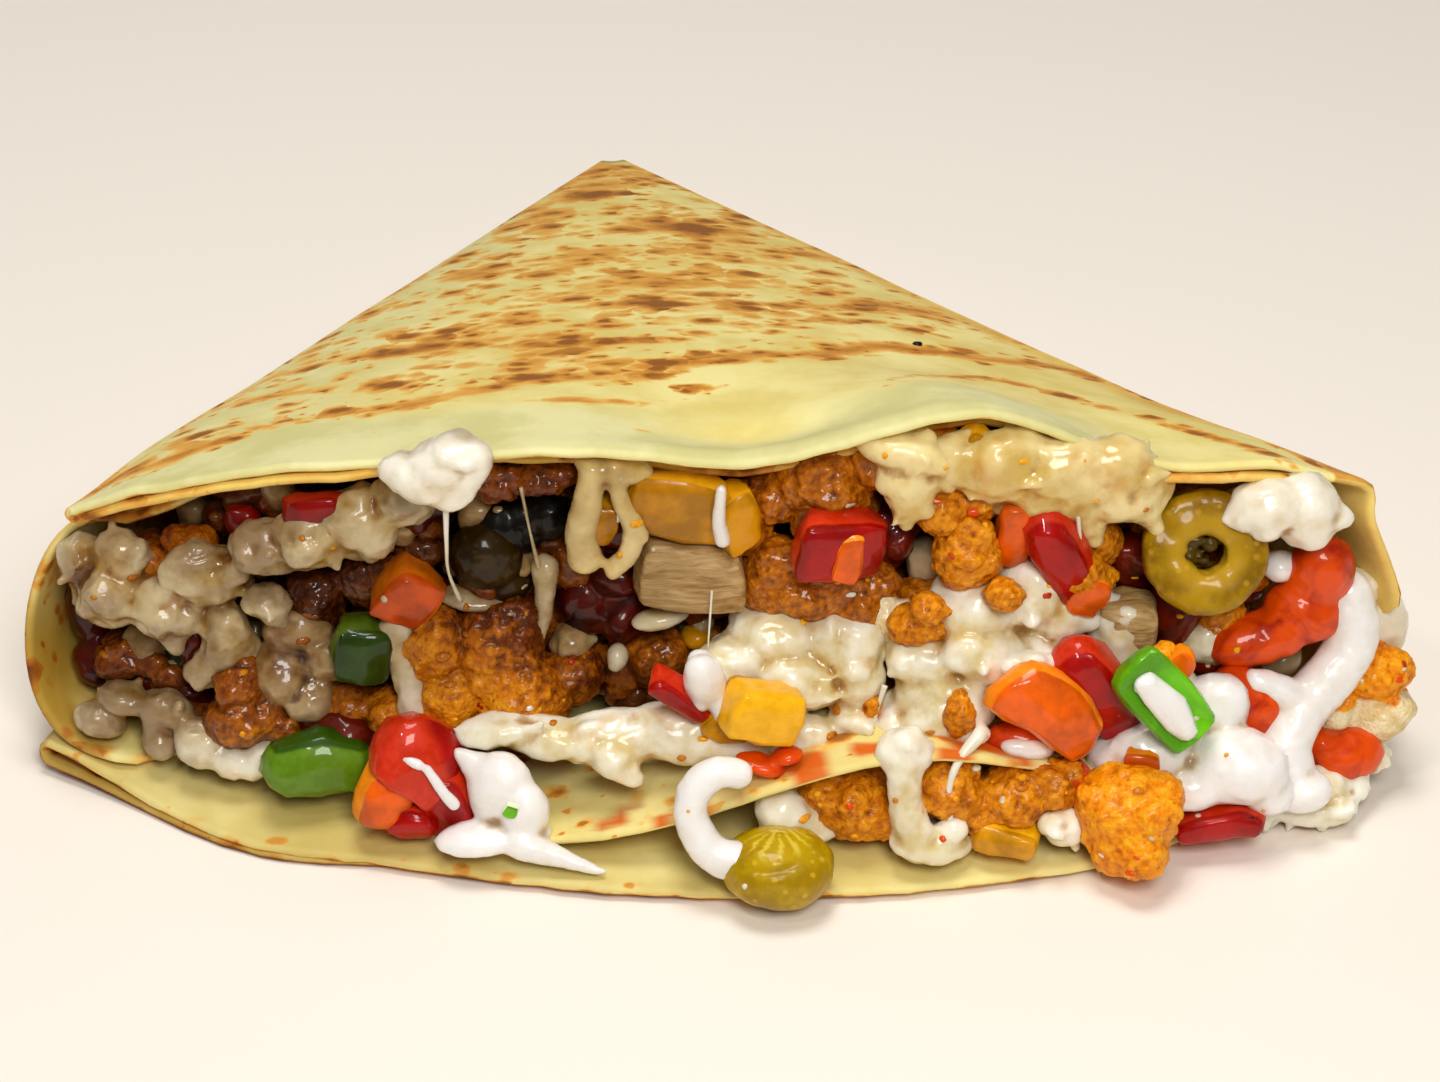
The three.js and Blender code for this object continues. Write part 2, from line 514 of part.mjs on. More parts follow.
// The left side.
put("cheese_left", CHEESE, melted(
  lump({ at: [-85.5, 18.5, 33], size: [21, 10, 10], seed: 2, turn: [0, -8, 0] }),
  lump({ at: [-72, 18, 39.4], size: [17, 10, 9.5], seed: 4, turn: [0, -24, 0] }),
  lump({ at: [-61.5, 17.5, 45.2], size: [17, 10, 9], seed: 5 }),
  lump({ at: [-76, 17, 25.6], size: [8.6, 8, 12.5], seed: 6 }),
));
put("chicken_left_low", CHICKEN, lump({ at: [-69.5, 13, 17.4], size: [17, 13, 12], seed: 16 }));
put("cheese_low_left", CHEESE, melted(
  lump({ at: [-75, 11, 10.2], size: [20, 9, 7], seed: 7, turn: [0, -6, 0] }),
  lump({ at: [-86.8, 14, 10], size: [7, 9, 6], seed: 9 }),
));
put("cheese_drip_left", CHEESE, lump({ at: [-94.6, 18.6, 10.6], size: [8, 9, 5.6], seed: 10 }));
put("chicken_left_brown", CHICKEN, lump({ at: [-87.5, 23.5, 19.6], size: [15, 10, 9], seed: 17 }));
put("meat_dark", CHICKEN, lump({ at: [-56.5, 20, 36.6], size: [16, 11, 8.4], seed: 18 }));
put("olive_black", BLACK_OLIVE, lump({ at: [-29.4, 21, 45.4], size: [13, 10, 10], seed: 3, rough: 0.06 }));
put("olive_dark_green", GREEN_OLIVE, lump({ at: [-36.2, 19, 38.4], size: [11, 10, 12], seed: 4, rough: 0.05 }));
put("tomato_dark", TOMATO, lump({ at: [-17, 20.5, 29], size: [15, 12, 17], seed: 5, rough: 0.06 }));
put("chicken_top_left", CHICKEN, lump({ at: [-30, 17.5, 54.4], size: [16, 9, 6.4], seed: 20 }));

// The filling behind them, which runs through to the tip.
const { lower, inner, cover } = SHEETS;
put("filling_upper", FILLING, () => stuffing({
  lower: inner, upper: cover, left: -20, right: 27, from: 0.22, to: 0.86, leftBulge: 11, rightBulge: 9,
}));
put("filling_lower", FILLING, () => stuffing({
  lower, upper: inner, left: 2, right: 22, from: 0.5, to: 0.88, leftBulge: 1, rightBulge: 1,
}));

// ------------------------------------------------------------------------------------------ the object
const part = new THREE.Group();
part.name = "savory_crepe";
part.add(meshOf("crepe", foldedSheet(), CREPE));

const apart = (a, b) =>
  [0, 1, 2].some((axis) => a.min[axis] > b.max[axis] || b.min[axis] > a.max[axis]);
const wrap = foldedSheet(CLEARANCE);
const before = [];
for (const { name, material, shape } of pieces) {
  let solid = shape(0).subtract(wrap);
  for (const other of before) {
    if (!apart(solid.boundingBox(), other.boundingBox())) solid = solid.subtract(other);
  }
  const largest = solid.decompose().reduce((most, body) => (body.volume() > most.volume() ? body : most));
  part.add(meshOf(name, largest, material));
  before.push(shape(CLEARANCE));
}

const size = new THREE.Box3().setFromObject(part);
const middle = size.getCenter(new THREE.Vector3());
part.position.set(-middle.x, -middle.y, -size.min.z);

export default part;
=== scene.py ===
"""A savory crepe, folded into a fan and stuffed with chicken, cheese, peppers, olives and cream.

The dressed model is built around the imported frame. Pieces are modelled in millimetres from the middle of
the open mouth, with x to the right, y towards the tip and z up, and moved into the row frame when done.
"""

import logging
import math
import random
from collections.abc import Callable, Sequence
from dataclasses import KW_ONLY, dataclass, field
from enum import Enum
from typing import ClassVar

import bmesh
import bpy
from mathutils import Euler, Matrix, Vector, noise


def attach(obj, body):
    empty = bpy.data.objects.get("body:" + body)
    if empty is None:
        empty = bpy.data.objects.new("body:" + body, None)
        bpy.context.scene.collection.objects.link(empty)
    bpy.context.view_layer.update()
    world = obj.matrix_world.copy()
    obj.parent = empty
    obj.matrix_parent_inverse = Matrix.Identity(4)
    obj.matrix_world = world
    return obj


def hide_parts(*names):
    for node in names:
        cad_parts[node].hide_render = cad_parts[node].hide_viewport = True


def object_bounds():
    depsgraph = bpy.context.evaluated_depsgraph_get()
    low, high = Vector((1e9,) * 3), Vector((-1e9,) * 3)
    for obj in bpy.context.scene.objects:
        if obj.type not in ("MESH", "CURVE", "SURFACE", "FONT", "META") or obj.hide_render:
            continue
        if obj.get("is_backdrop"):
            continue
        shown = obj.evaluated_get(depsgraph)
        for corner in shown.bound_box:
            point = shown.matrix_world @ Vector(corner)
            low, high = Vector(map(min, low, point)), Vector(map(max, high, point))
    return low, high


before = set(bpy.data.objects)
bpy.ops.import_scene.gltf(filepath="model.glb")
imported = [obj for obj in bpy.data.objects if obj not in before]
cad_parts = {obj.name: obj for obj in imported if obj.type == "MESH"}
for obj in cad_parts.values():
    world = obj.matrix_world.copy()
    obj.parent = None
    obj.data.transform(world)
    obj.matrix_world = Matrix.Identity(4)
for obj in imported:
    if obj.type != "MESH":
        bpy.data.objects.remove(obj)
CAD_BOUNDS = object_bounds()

LOG = logging.getLogger("savory_crepe")
Triple = tuple[float, float, float]
Colour = tuple[float, float, float, float]
Socket = bpy.types.NodeSocket

MM = 0.001
MOUTH = Vector((0.7605, -90.4183, 0.0))  # the middle of the mouth in the row frame, in millimetres
TO_ROW = Matrix.Scale(MM, 4) @ Matrix.Translation(MOUTH)


# ------------ small formulas
def lerp(a: float, b: float, t: float) -> float:
    """Returns the value at share t of the way from a to b."""
    return a + (b - a) * t


def clamp(value: float, low: float = 0.0, high: float = 1.0) -> float:
    """Returns the value held between low and high."""
    return max(low, min(high, value))


def smooth_step(value: float, start: float, end: float) -> float:
    """Returns 0 before start, 1 after end and an even curve between them."""
    t = clamp((value - start) / (end - start))
    return t * t * (3 - 2 * t)


def bell(value: float, centre: float, width: float) -> float:
    """Returns a bump of height 1 at the centre, which fades over the width."""
    return math.exp(-(((value - centre) / width) ** 2))


def fractal(place: Vector, lacunarity: float = 2.0, octaves: int = 3) -> float:
    """Returns a rough value at a place, about 0 on average."""
    return noise.fractal(place, 1.0, lacunarity, octaves)


def drawn(chance: random.Random, spread: float) -> Vector:
    """Draws a vector by chance, with the same spread each way."""
    return Vector([chance.gauss(0, spread) for _ in range(3)])


def colour(red: int, green: int, blue: int) -> Colour:
    """Turns a display colour, each part from 0 to 255, into the linear one that shaders use."""
    parts = [c / 255 for c in (red, green, blue)]
    linear = [c / 12.92 if c <= 0.04045 else ((c + 0.055) / 1.055) ** 2.4 for c in parts]
    return (*linear, 1.0)


def scaled(shade: Colour, *weights: float, lift: float = 0.0) -> Colour:
    """Returns a colour with its parts multiplied by weights and lifted, at most 1."""
    weights = weights * 3 if len(weights) == 1 else weights
    return (*(min(1.0, c * w + lift) for c, w in zip(shade, weights)), 1.0)


def placed(centre: Triple, turn: Triple) -> Matrix:
    """Returns the matrix that turns a thing about x, y and z, in degrees, and puts it at a centre."""
    return Matrix.Translation(centre) @ Euler([math.radians(a) for a in turn]).to_matrix().to_4x4()


def spline(path: Sequence[Triple], count: int) -> list[Vector]:
    """Samples a smooth curve through some points.

    Args:
        path: The points that the curve goes through.
        count: How many samples to take.

    Returns:
        The samples, evenly spaced in the curve's own parameter.
    """
    points = [Vector(p) for p in path]
    ends = [points[0] * 2 - points[1], *points, points[-1] * 2 - points[-2]]
    samples = []
    for i in range(count):
        place = i / (count - 1) * (len(points) - 1)
        k = min(int(place), len(points) - 2)
        t = place - k
        a, b, c, d = ends[k : k + 4]
        bend = (2 * a - 5 * b + 4 * c - d) * t**2 + (3 * b - a - 3 * c + d) * t**3
        samples.append(0.5 * (2 * b + (c - a) * t + bend))
    return samples


# ------------ node building
class Bench:
    """Adds and joins the nodes of one material or node group."""

    def __init__(self, tree: bpy.types.NodeTree) -> None:
        """Keeps the tree that the nodes go into."""
        self.tree = tree

    def add(self, kind: str, inputs: dict | None = None, **settings: object) -> bpy.types.Node:
        """Adds a node.

        Args:
            kind: The node's type name.
            inputs: Values or output sockets for its inputs, by name or number.
            **settings: The node's own properties.

        Returns:
            The new node.
        """
        node = self.tree.nodes.new(kind)
        for name, value in settings.items():
            setattr(node, name, value)
        for name, value in (inputs or {}).items():
            if isinstance(value, Socket):
                self.tree.links.new(value, node.inputs[name])
            else:
                node.inputs[name].default_value = value
        return node

    def use(self, effect: bpy.types.NodeTree, **inputs: object) -> Socket:
        """Returns the result of a shared effect with these inputs."""
        return self.add("ShaderNodeGroup", inputs, node_tree=effect).outputs[0]

    def math(self, operation: str, *values: object) -> Socket:
        """Returns the result of a Math node on numbers or sockets."""
        return self.add("ShaderNodeMath", dict(enumerate(values)), operation=operation).outputs[0]

    def plus(self, first: object, second: object) -> Socket:
        """Returns the sum of two numbers or sockets."""
        return self.math("ADD", first, second)

    def times(self, first: object, second: object) -> Socket:
        """Returns the product of two numbers or sockets."""
        return self.math("MULTIPLY", first, second)

    def noise(self, vector: object, scale: float, detail: float, rough: float, warp: float = 0.0) -> Socket:
        """Returns the value of a noise texture over a vector, at a scale per metre."""
        inputs = {"Vector": vector, "Scale": scale, "Detail": detail, "Roughness": rough, "Distortion": warp}
        return self.add("ShaderNodeTexNoise", inputs).outputs["Fac"]

    def cells(self, vector: object, scale: object) -> tuple[Socket, Socket]:
        """Returns how far the nearest of some scattered points is, and its number by chance."""
        cells = self.add("ShaderNodeTexVoronoi", {"Vector": vector, "Scale": scale}).outputs
        chance = self.add("ShaderNodeSeparateColor", {0: cells["Color"]}).outputs[0]
        return cells["Distance"], chance

    def ramp(self, value: object, *stops: tuple[float, Colour]) -> Socket:
        """Returns the colour of a ramp with the given stops at a value.

        Args:
            value: The value that runs along the ramp, or its socket.
            *stops: The place and the colour of each stop.

        Returns:
            The colour socket.
        """
        node = self.add("ShaderNodeValToRGB", {"Fac": value})
        elements = node.color_ramp.elements
        while len(elements) < len(stops):
            elements.new(0.5)
        for element, (place, shade) in zip(elements, stops):
            element.position = place
            element.color = shade
        return node.outputs["Color"]

    def band(self, value: object, low: object, high: object) -> Socket:
        """Returns 0 to 1 as a value goes from low to high."""
        inputs = {"Value": value, "From Min": low, "From Max": high}
        return self.add("ShaderNodeMapRange", inputs, interpolation_type="SMOOTHSTEP").outputs["Result"]

    def mix(self, share: object, first: object, second: object, blend: str = "MIX") -> Socket:
        """Returns a mix of two colours by a share."""
        inputs = {0: share, 6: first, 7: second}
        return self.add("ShaderNodeMix", inputs, data_type="RGBA", blend_type=blend).outputs[2]

    def attribute(self, name: str) -> Socket:
        """Returns a value that the mesh carries at its vertices."""
        return self.add("ShaderNodeAttribute", attribute_name=name).outputs["Fac"]

    def close(self, result: Socket) -> bpy.types.NodeTree:
        """Makes a socket the result of a node group, and returns the group."""
        self.tree.links.new(result, self.add("NodeGroupOutput").inputs[0])
        return self.tree


def new_group(name: str, inputs: Sequence[str], output: str) -> tuple[Bench, dict[str, Socket]]:
    """Starts a shader node group.

    Args:
        name: The group's name.
        inputs: The names of its inputs.
        output: The name of its one output.

    Returns:
        A bench for its tree, and its inputs by name.
    """
    kinds = {"Vector": "NodeSocketVector", **dict.fromkeys(("Color", "Dark", "Light"), "NodeSocketColor")}
    tree = bpy.data.node_groups.new(name, "ShaderNodeTree")
    for label, way in [(label, "INPUT") for label in inputs] + [(output, "OUTPUT")]:
        tree.interface.new_socket(label, in_out=way, socket_type=kinds.get(label, "NodeSocketFloat"))
    bench = Bench(tree)
    return bench, dict(bench.add("NodeGroupInput").outputs.items())


@dataclass(frozen=True)
class Effects:
    """The effects that several finishes share, each as a node group that is built once."""

    mottle: bpy.types.NodeTree
    grain: bpy.types.NodeTree
    speckle: bpy.types.NodeTree
    depth: bpy.types.NodeTree
    spots: bpy.types.NodeTree

    @classmethod
    def build(cls) -> "Effects":
        """Builds the groups."""
        return cls(cls._mottle(), cls._grain(), cls._speckle(), cls._depth(), cls._spots())

    @staticmethod
    def _mottle() -> bpy.types.NodeTree:
        """Clouds of a darker and a lighter shade, with smaller clouds in them."""
        bench, start = new_group("mottle", ("Vector", "Scale", "Dark", "Light"), "Color")
        mask = bench.band(bench.noise(start["Vector"], start["Scale"], 4.0, 0.6), 0.36, 0.64)
        return bench.close(bench.mix(mask, start["Dark"], start["Light"]))

    @staticmethod
    def _grain() -> bpy.types.NodeTree:
        """A rough height made of rounded grains and fine noise.

        Returns:
            The finished node group.
        """
        bench, start = new_group("grain", ("Vector", "Scale", "Crumbs"), "Height")
        fine = bench.noise(start["Vector"], start["Scale"], 4.0, 0.65)
        distance, _ = bench.cells(start["Vector"], start["Scale"])
        inputs = {0: start["Crumbs"], 2: fine, 3: bench.math("SUBTRACT", 1.0, distance)}
        return bench.close(bench.add("ShaderNodeMix", inputs, data_type="FLOAT").outputs[0])

    @staticmethod
    def _speckle() -> bpy.types.NodeTree:
        """A mask of scattered specks of uneven size."""
        bench, start = new_group("speckle", ("Vector", "Scale", "Amount"), "Mask")
        distance, chance = bench.cells(start["Vector"], start["Scale"])
        chosen = bench.math("LESS_THAN", chance, start["Amount"])
        return bench.close(bench.times(chosen, bench.band(distance, 0.42, 0.2)))

    @staticmethod
    def _depth() -> bpy.types.NodeTree:
        """Painted shade: a colour that darkens inside the mouth, most at the left, in uneven clouds.

        Returns:
            The finished node group.
        """
        bench, start = new_group("depth", ("Vector", "Color"), "Color")
        axes = bench.add("ShaderNodeSeparateXYZ", {"Vector": start["Vector"]}).outputs
        inside, left = bench.band(axes["Y"], -0.088, -0.078), bench.band(axes["X"], 0.012, -0.026)
        clouds = bench.band(bench.noise(start["Vector"], 85.0, 4.0, 0.65), 0.38, 0.62)
        # painted shade: the tint that darkens colours inside the mouth, in clouds
        tint = bench.mix(clouds, colour(146, 116, 76), colour(200, 182, 150))
        soaked = bench.mix(1.0, start["Color"], tint, "MULTIPLY")
        return bench.close(bench.mix(bench.times(bench.times(inside, left), 0.92), start["Color"], soaked))

    @staticmethod
    def _spots() -> bpy.types.NodeTree:
        """Griddle spots of uneven size: 1 in the middle of a spot, fading through a faint ring around it.

        Returns:
            The finished node group.
        """
        bench, start = new_group("spots", ("Vector", "Scale", "Reach"), "Heat")
        wobble = bench.add("ShaderNodeTexNoise", {"Vector": start["Vector"], "Scale": 420.0, "Detail": 3.0})
        inputs = {0: wobble.outputs["Color"], 1: (0.0018, 0.0018, 0.0018), 2: start["Vector"]}
        moved = bench.add("ShaderNodeVectorMath", inputs, operation="MULTIPLY_ADD").outputs[0]
        distance, chance = bench.cells(moved, start["Scale"])
        reach = bench.times(start["Reach"], bench.plus(0.18, bench.math("POWER", chance, 2.0)))
        core = bench.band(distance, reach, bench.times(reach, 0.35))
        ring = bench.band(distance, bench.times(reach, 2.4), reach)
        return bench.close(bench.plus(bench.times(core, 0.7), bench.times(ring, 0.3)))


# ------------ finishes
@dataclass(frozen=True)
class Gloss:
    """The values of a surface that are the same all over it."""

    roughness: float
    coat: float
    coat_roughness: float
    glow: float  # light that goes into the food and comes out again
    glow_reach: float = 0.004  # how far it goes, in metres
    glow_tint: Triple = (1.0, 0.7, 0.4)
    specular: float = 0.5


WET = Gloss(0.3, 0.5, 0.06, 0.25, 0.004, (1.0, 0.8, 0.5), 0.3)
FRIED = Gloss(0.5, 0.25, 0.14, 0.06, 0.002, (1.0, 0.5, 0.12), 0.12)
GLAZED = Gloss(0.45, 0.5, 0.1, 0.06, 0.002, (1.0, 0.4, 0.1), 0.12)
JUICY = Gloss(0.4, 0.45, 0.03, 0.08, 0.003, (1.0, 0.4, 0.08), 0.12)
BRINED = Gloss(0.4, 0.3, 0.06, 0.15, 0.003, (1.0, 0.85, 0.15), 0.12)
SMOOTH = Gloss(0.3, 0.4, 0.12, 0.3, 0.004, (1.0, 0.95, 0.9))
MEATY = Gloss(0.5, 0.2, 0.2, 0.15, specular=0.3)
PACKED = Gloss(0.4, 0.4, 0.15, 0.0, specular=0.3)
GRIDDLED = Gloss(0.6, 0.0, 0.1, 0.1, 0.003, (1.0, 0.8, 0.4), 0.25)


@dataclass(frozen=True, kw_only=True)
class Finish:
    """A cooked or raw food surface. Each kind fills in its own colour and relief."""

    gloss: Gloss
    relief: float
    relief_depth: float = 0.0004
    slot: str  # its material slot's name
    shaded_in_mouth: ClassVar[bool] = True  # whether the painted shade inside the mouth darkens it

    def material(self, name: str, effects: Effects) -> bpy.types.Material:
        """Builds the material.

        Args:
            name: Its name.
            effects: The shared node groups.

        Returns:
            The finished material.
        """
        made = bpy.data.materials.new(name)
        made.use_nodes = True
        bench = Bench(made.node_tree)
        shader = made.node_tree.nodes["Principled BSDF"]
        gloss = self.gloss
        for socket, value in {
            "Roughness": gloss.roughness,
            "Coat Weight": gloss.coat,
            "Coat Roughness": gloss.coat_roughness,
            "Subsurface Weight": gloss.glow,
            "Subsurface Scale": gloss.glow_reach,
            "Subsurface Radius": gloss.glow_tint,
            "Specular IOR Level": gloss.specular,
        }.items():
            shader.inputs[socket].default_value = value
        where = bench.add("ShaderNodeTexCoord").outputs["Object"]
        shade, height = self.surface(bench, effects, where)
        # painted shade inside the mouth, for the finishes that take it
        if self.shaded_in_mouth:
            shade = bench.use(effects.depth, Vector=where, Color=shade)
        bump = {"Height": height, "Strength": self.relief, "Distance": self.relief_depth}
        links = {
            "Base Color": shade,
            "Normal": bench.add("ShaderNodeBump", bump).outputs["Normal"],
            "Roughness": self.wetness(bench, where),
        }
        for label, socket in links.items():
            if socket is not None:
                bench.tree.links.new(socket, shader.inputs[label])
        return made

    def surface(self, bench: Bench, effects: Effects, where: Socket) -> tuple[Socket, Socket]:
        """Builds the colour and the height over the surface.

        Args:
            bench: The bench of the material's tree.
            effects: The shared node groups.
            where: The object coordinates.

        Returns:
            The colour socket and the height socket.
        """
        raise NotImplementedError

    def wetness(self, bench: Bench, where: Socket) -> Socket | None:
        """Returns a roughness that changes over the surface, or None if it is even."""
        return None


@dataclass(frozen=True)
class CrepeFinish(Finish):
    """A griddled crepe: pale batter with brown spots where it touched the iron, by the marks on the mesh."""

    _: KW_ONLY
    gloss: Gloss = GRIDDLED
    relief: float = 0.3
    relief_depth: float = 0.0005
    slot: str = "crepe"
    shaded_in_mouth: ClassVar[bool] = False

    def surface(self, bench: Bench, effects: Effects, where: Socket) -> tuple[Socket, Socket]:
        """Builds the batter, its browning, its stains, its olive darkening (partly oil, partly painted
        shade) and its pores.

        Args:
            bench: The bench of the material's tree.
            effects: The shared node groups.
            where: The object coordinates.

        Returns:
            The colour socket and the height socket.
        """
        flat = bench.add("ShaderNodeUVMap", uv_map="flat").outputs["UV"]
        brown, warm, stain, soaked = (bench.attribute(name) for name in ("brown", "warm", "stain", "soaked"))
        cream, cloud, gold = (
            bench.use(effects.mottle, Vector=flat, Scale=scale, Dark=dark, Light=light)
            for scale, dark, light in (
                (60.0, colour(210, 204, 138), colour(232, 226, 168)),
                (38.0, colour(228, 206, 118), colour(247, 232, 156)),
                (75.0, colour(220, 164, 62), colour(240, 204, 104)),
            )
        )
        batter = bench.mix(bench.band(warm, 0.0, 0.5), cream, cloud)
        batter = bench.mix(bench.band(warm, 0.5, 1.0), batter, gold)
        heat = self.heat(bench, effects, where, brown)
        browned = bench.ramp(
            heat,
            (0.42, colour(242, 208, 114)),
            (0.54, colour(232, 172, 76)),
            (0.68, colour(202, 134, 46)),
            (0.88, colour(150, 90, 28)),
        )
        shade = bench.mix(bench.band(heat, 0.38, 0.54), batter, browned)
        shade = bench.mix(bench.band(stain, 0.2, 0.9), shade, colour(214, 100, 16))
        # olive darkening, partly oil from the filling and partly painted shade on the left fold's wall and
        # the floor's flap
        oily = bench.mix(1.0, shade, colour(178, 148, 60), "MULTIPLY")
        cloudy = bench.times(soaked, bench.band(bench.noise(flat, 45.0, 3.0, 0.6), 0.15, 0.55))
        pores = bench.use(effects.grain, Vector=flat, Scale=700.0, Crumbs=0.35)
        height = bench.plus(bench.times(pores, 0.4), bench.noise(flat, 120.0, 3.0, 0.5))
        return bench.mix(cloudy, shade, oily), height

    @staticmethod
    def heat(bench: Bench, effects: Effects, where: Socket, brown: Socket) -> Socket:
        """Adds up how brown a place is.

        Args:
            bench: The bench of the material's tree.
            effects: The shared node groups.
            where: The object coordinates.
            brown: The mark on the mesh, which says where the batter can brown.

        Returns:
            The mark with the griddle's spots and the noise of the batter added to it.
        """
        across = bench.add("ShaderNodeMapping", {"Vector": where, "Scale": (0.75, 1.0, 0.8)}).outputs[0]
        clouds = ((70.0, 3.0, 0.5), (260.0, 2.5, 0.26))
        heat = bench.plus(brown, -0.5 * sum(share for _, _, share in clouds))
        for scale, detail, share in clouds:
            heat = bench.plus(heat, bench.times(bench.noise(across, scale, detail, 0.6, 0.2), share))
        touched = bench.band(brown, 0.24, 0.36)
        for scale, reach, share in ((190.0, 0.44, 0.44), (330.0, 0.38, 0.32)):
            spots = bench.use(effects.spots, Vector=across, Scale=scale, Reach=reach)
            heat = bench.plus(heat, bench.times(bench.times(spots, share), touched))
        return heat


@dataclass(frozen=True)
class CrumbFinish(Finish):
    """Fried breadcrumb coat: golden crumbs over a deeper brown, with bare meat where the coat is off."""

    crumb: Colour
    coat: Colour
    deep: Colour
    _: KW_ONLY
    gloss: Gloss = FRIED
    relief: float = 0.9
    relief_depth: float = 0.0005
    slot: str = "chicken"

    def surface(self, bench: Bench, effects: Effects, where: Socket) -> tuple[Socket, Socket]:
        """Builds the coat's colour from the crumbs on the mesh, and a finer grain.

        Args:
            bench: The bench of the material's tree.
            effects: The shared node groups.
            where: The object coordinates.

        Returns:
            The colour socket and the height socket.
        """
        relief, bare = bench.attribute("relief"), bench.attribute("bare")
        level = bench.plus(bench.times(relief, 0.62), bench.times(bench.noise(where, 160.0, 3.0, 0.6), 0.5))
        shade = bench.ramp(level, (0.14, self.deep), (0.42, self.coat), (0.8, self.crumb))
        specks = bench.use(effects.speckle, Vector=where, Scale=900.0, Amount=0.16)
        shade = bench.mix(bench.times(specks, 0.55), shade, self.deep)
        flesh = {"Dark": colour(222, 190, 128), "Light": colour(244, 230, 186)}
        meat = bench.use(effects.mottle, Vector=where, Scale=260.0, **flesh)
        grain = bench.use(effects.grain, Vector=where, Scale=1500.0, Crumbs=0.5)
        return bench.mix(bench.band(bare, 0.35, 0.65), shade, meat), grain


@dataclass(frozen=True)
class MeltFinish(Finish):
    """Melted cheese or cream: pale, wet and slightly see-through, with warmer or greyer clouds."""

    light: Colour
    shadow: Colour
    oil: Colour
    hollow: Colour  # the painted shade in its creases and on its underside
    oiliness: float
    cloud_scale: float = 100.0
    _: KW_ONLY
    gloss: Gloss = WET
    relief: float = 0.3
    slot: str = "cheese"

    def surface(self, bench: Bench, effects: Effects, where: Socket) -> tuple[Socket, Socket]:
        """Builds clouds of the two shades, patches of orange oil, painted shade in its creases and
        underneath, a painted highlight on its ridges, and a soft unevenness.

        Args:
            bench: The bench of the material's tree.
            effects: The shared node groups.
            where: The object coordinates.

        Returns:
            The colour socket and the height socket.
        """
        shades = {"Dark": self.shadow, "Light": self.light}
        shade = bench.use(effects.mottle, Vector=where, Scale=self.cloud_scale, **shades)
        oily = bench.band(bench.noise(where, 95.0, 3.0, 0.6, 0.3), 0.54, 0.70)
        shade = bench.mix(bench.times(oily, self.oiliness), shade, self.oil)
        # painted shade: creases and the underside darken towards the hollow colour, broken up by noise
        crease = bench.attribute("crease")
        wet = bench.plus(bench.plus(crease, bench.times(bench.noise(where, 150.0, 4.0, 0.65), 1.1)), -0.53)
        deepest = scaled(self.hollow, 0.5, 0.34, 0.2)
        for low, high, crease_shade in ((0.5, 0.85, self.hollow), (0.74, 1.1, deepest)):
            shade = bench.mix(bench.times(bench.band(wet, low, high), 0.8), shade, crease_shade)
        # painted highlight: ridges are lightened towards the light colour
        shade = bench.mix(bench.times(bench.band(crease, 0.45, 0.1), 0.5), shade, self.light)
        curds = bench.noise(where, 330.0, 3.0, 0.5, 0.4)
        return shade, bench.plus(curds, bench.times(bench.noise(where, 1200.0, 3.0, 0.55), 0.14))

    def wetness(self, bench: Bench, where: Socket) -> Socket:
        """Returns a roughness with wetter and drier patches."""
        low, high = self.gloss.roughness * 0.6, self.gloss.roughness * 1.5
        patches = bench.noise(where, 210.0, 2.0, 0.5)
        inputs = {"Value": patches, "From Min": 0.35, "From Max": 0.65, "To Min": low, "To Max": high}
        return bench.add("ShaderNodeMapRange", inputs).outputs["Result"]


@dataclass(frozen=True)
class PepperFinish(Finish):
    """Bell pepper: a glossy skin on one side and paler, moist flesh on the cut sides."""

    skin: Colour
    flesh: Colour
    _: KW_ONLY
    gloss: Gloss = JUICY
    relief: float = 0.1

    def surface(self, bench: Bench, effects: Effects, where: Socket) -> tuple[Socket, Socket]:
        """Builds skin and flesh by the mark on the mesh, each with its own clouds.

        Args:
            bench: The bench of the material's tree.
            effects: The shared node groups.
            where: The object coordinates.

        Returns:
            The colour socket and the height socket.
        """
        flesh, skin = (
            bench.use(effects.mottle, Vector=where, Scale=scale, Dark=dark, Light=light)
            for scale, dark, light in (
                (420.0, self.flesh, scaled(self.flesh, 1.18, lift=0.01)),
                (120.0, scaled(self.skin, 0.55), self.skin),
            )
        )
        shade = bench.mix(bench.band(bench.attribute("skin"), 0.3, 0.7), flesh, skin)
        return shade, bench.noise(where, 800.0, 2.0, 0.5)


@dataclass(frozen=True)
class OliveFinish(Finish):
    """Olive flesh: clouded and a little see-through, paler where it was cut."""

    skin: Colour
    deep: Colour
    cut: Colour
    _: KW_ONLY
    gloss: Gloss = BRINED
    relief: float = 0.2
    slot: str = "green_olive"

    def surface(self, bench: Bench, effects: Effects, where: Socket) -> tuple[Socket, Socket]:
        """Builds the clouded flesh, the cut side by the mark on the mesh, and small pale specks.

        Args:
            bench: The bench of the material's tree.
            effects: The shared node groups.
            where: The object coordinates.

        Returns:
            The colour socket and the height socket.
        """
        cloud = bench.use(effects.mottle, Vector=where, Scale=190.0, Dark=self.deep, Light=self.skin)
        shade = bench.mix(bench.band(bench.attribute("cut"), 0.1, 0.9), cloud, self.cut)
        specks = bench.use(effects.speckle, Vector=where, Scale=700.0, Amount=0.3)
        shade = bench.mix(bench.times(specks, 0.45), shade, scaled(self.skin, 1.5, lift=0.03))
        return shade, bench.noise(where, 500.0, 3.0, 0.5)


@dataclass(frozen=True)
class SauceFinish(Finish):
    """Tomato pulp and ketchup: wet red with lighter and darker swirls."""

    light: Colour
    dark: Colour
    _: KW_ONLY
    gloss: Gloss = JUICY
    relief: float = 0.25
    relief_depth: float = 0.0005
    slot: str = "tomato"

    def surface(self, bench: Bench, effects: Effects, where: Socket) -> tuple[Socket, Socket]:
        """Builds swirls of the two shades and a soft pulp relief."""
        swirl = bench.noise(where, 120.0, 3.0, 0.55, 1.2)
        return bench.ramp(swirl, (0.3, self.dark), (0.55, self.light)), bench.noise(where, 420.0, 3.0, 0.55)


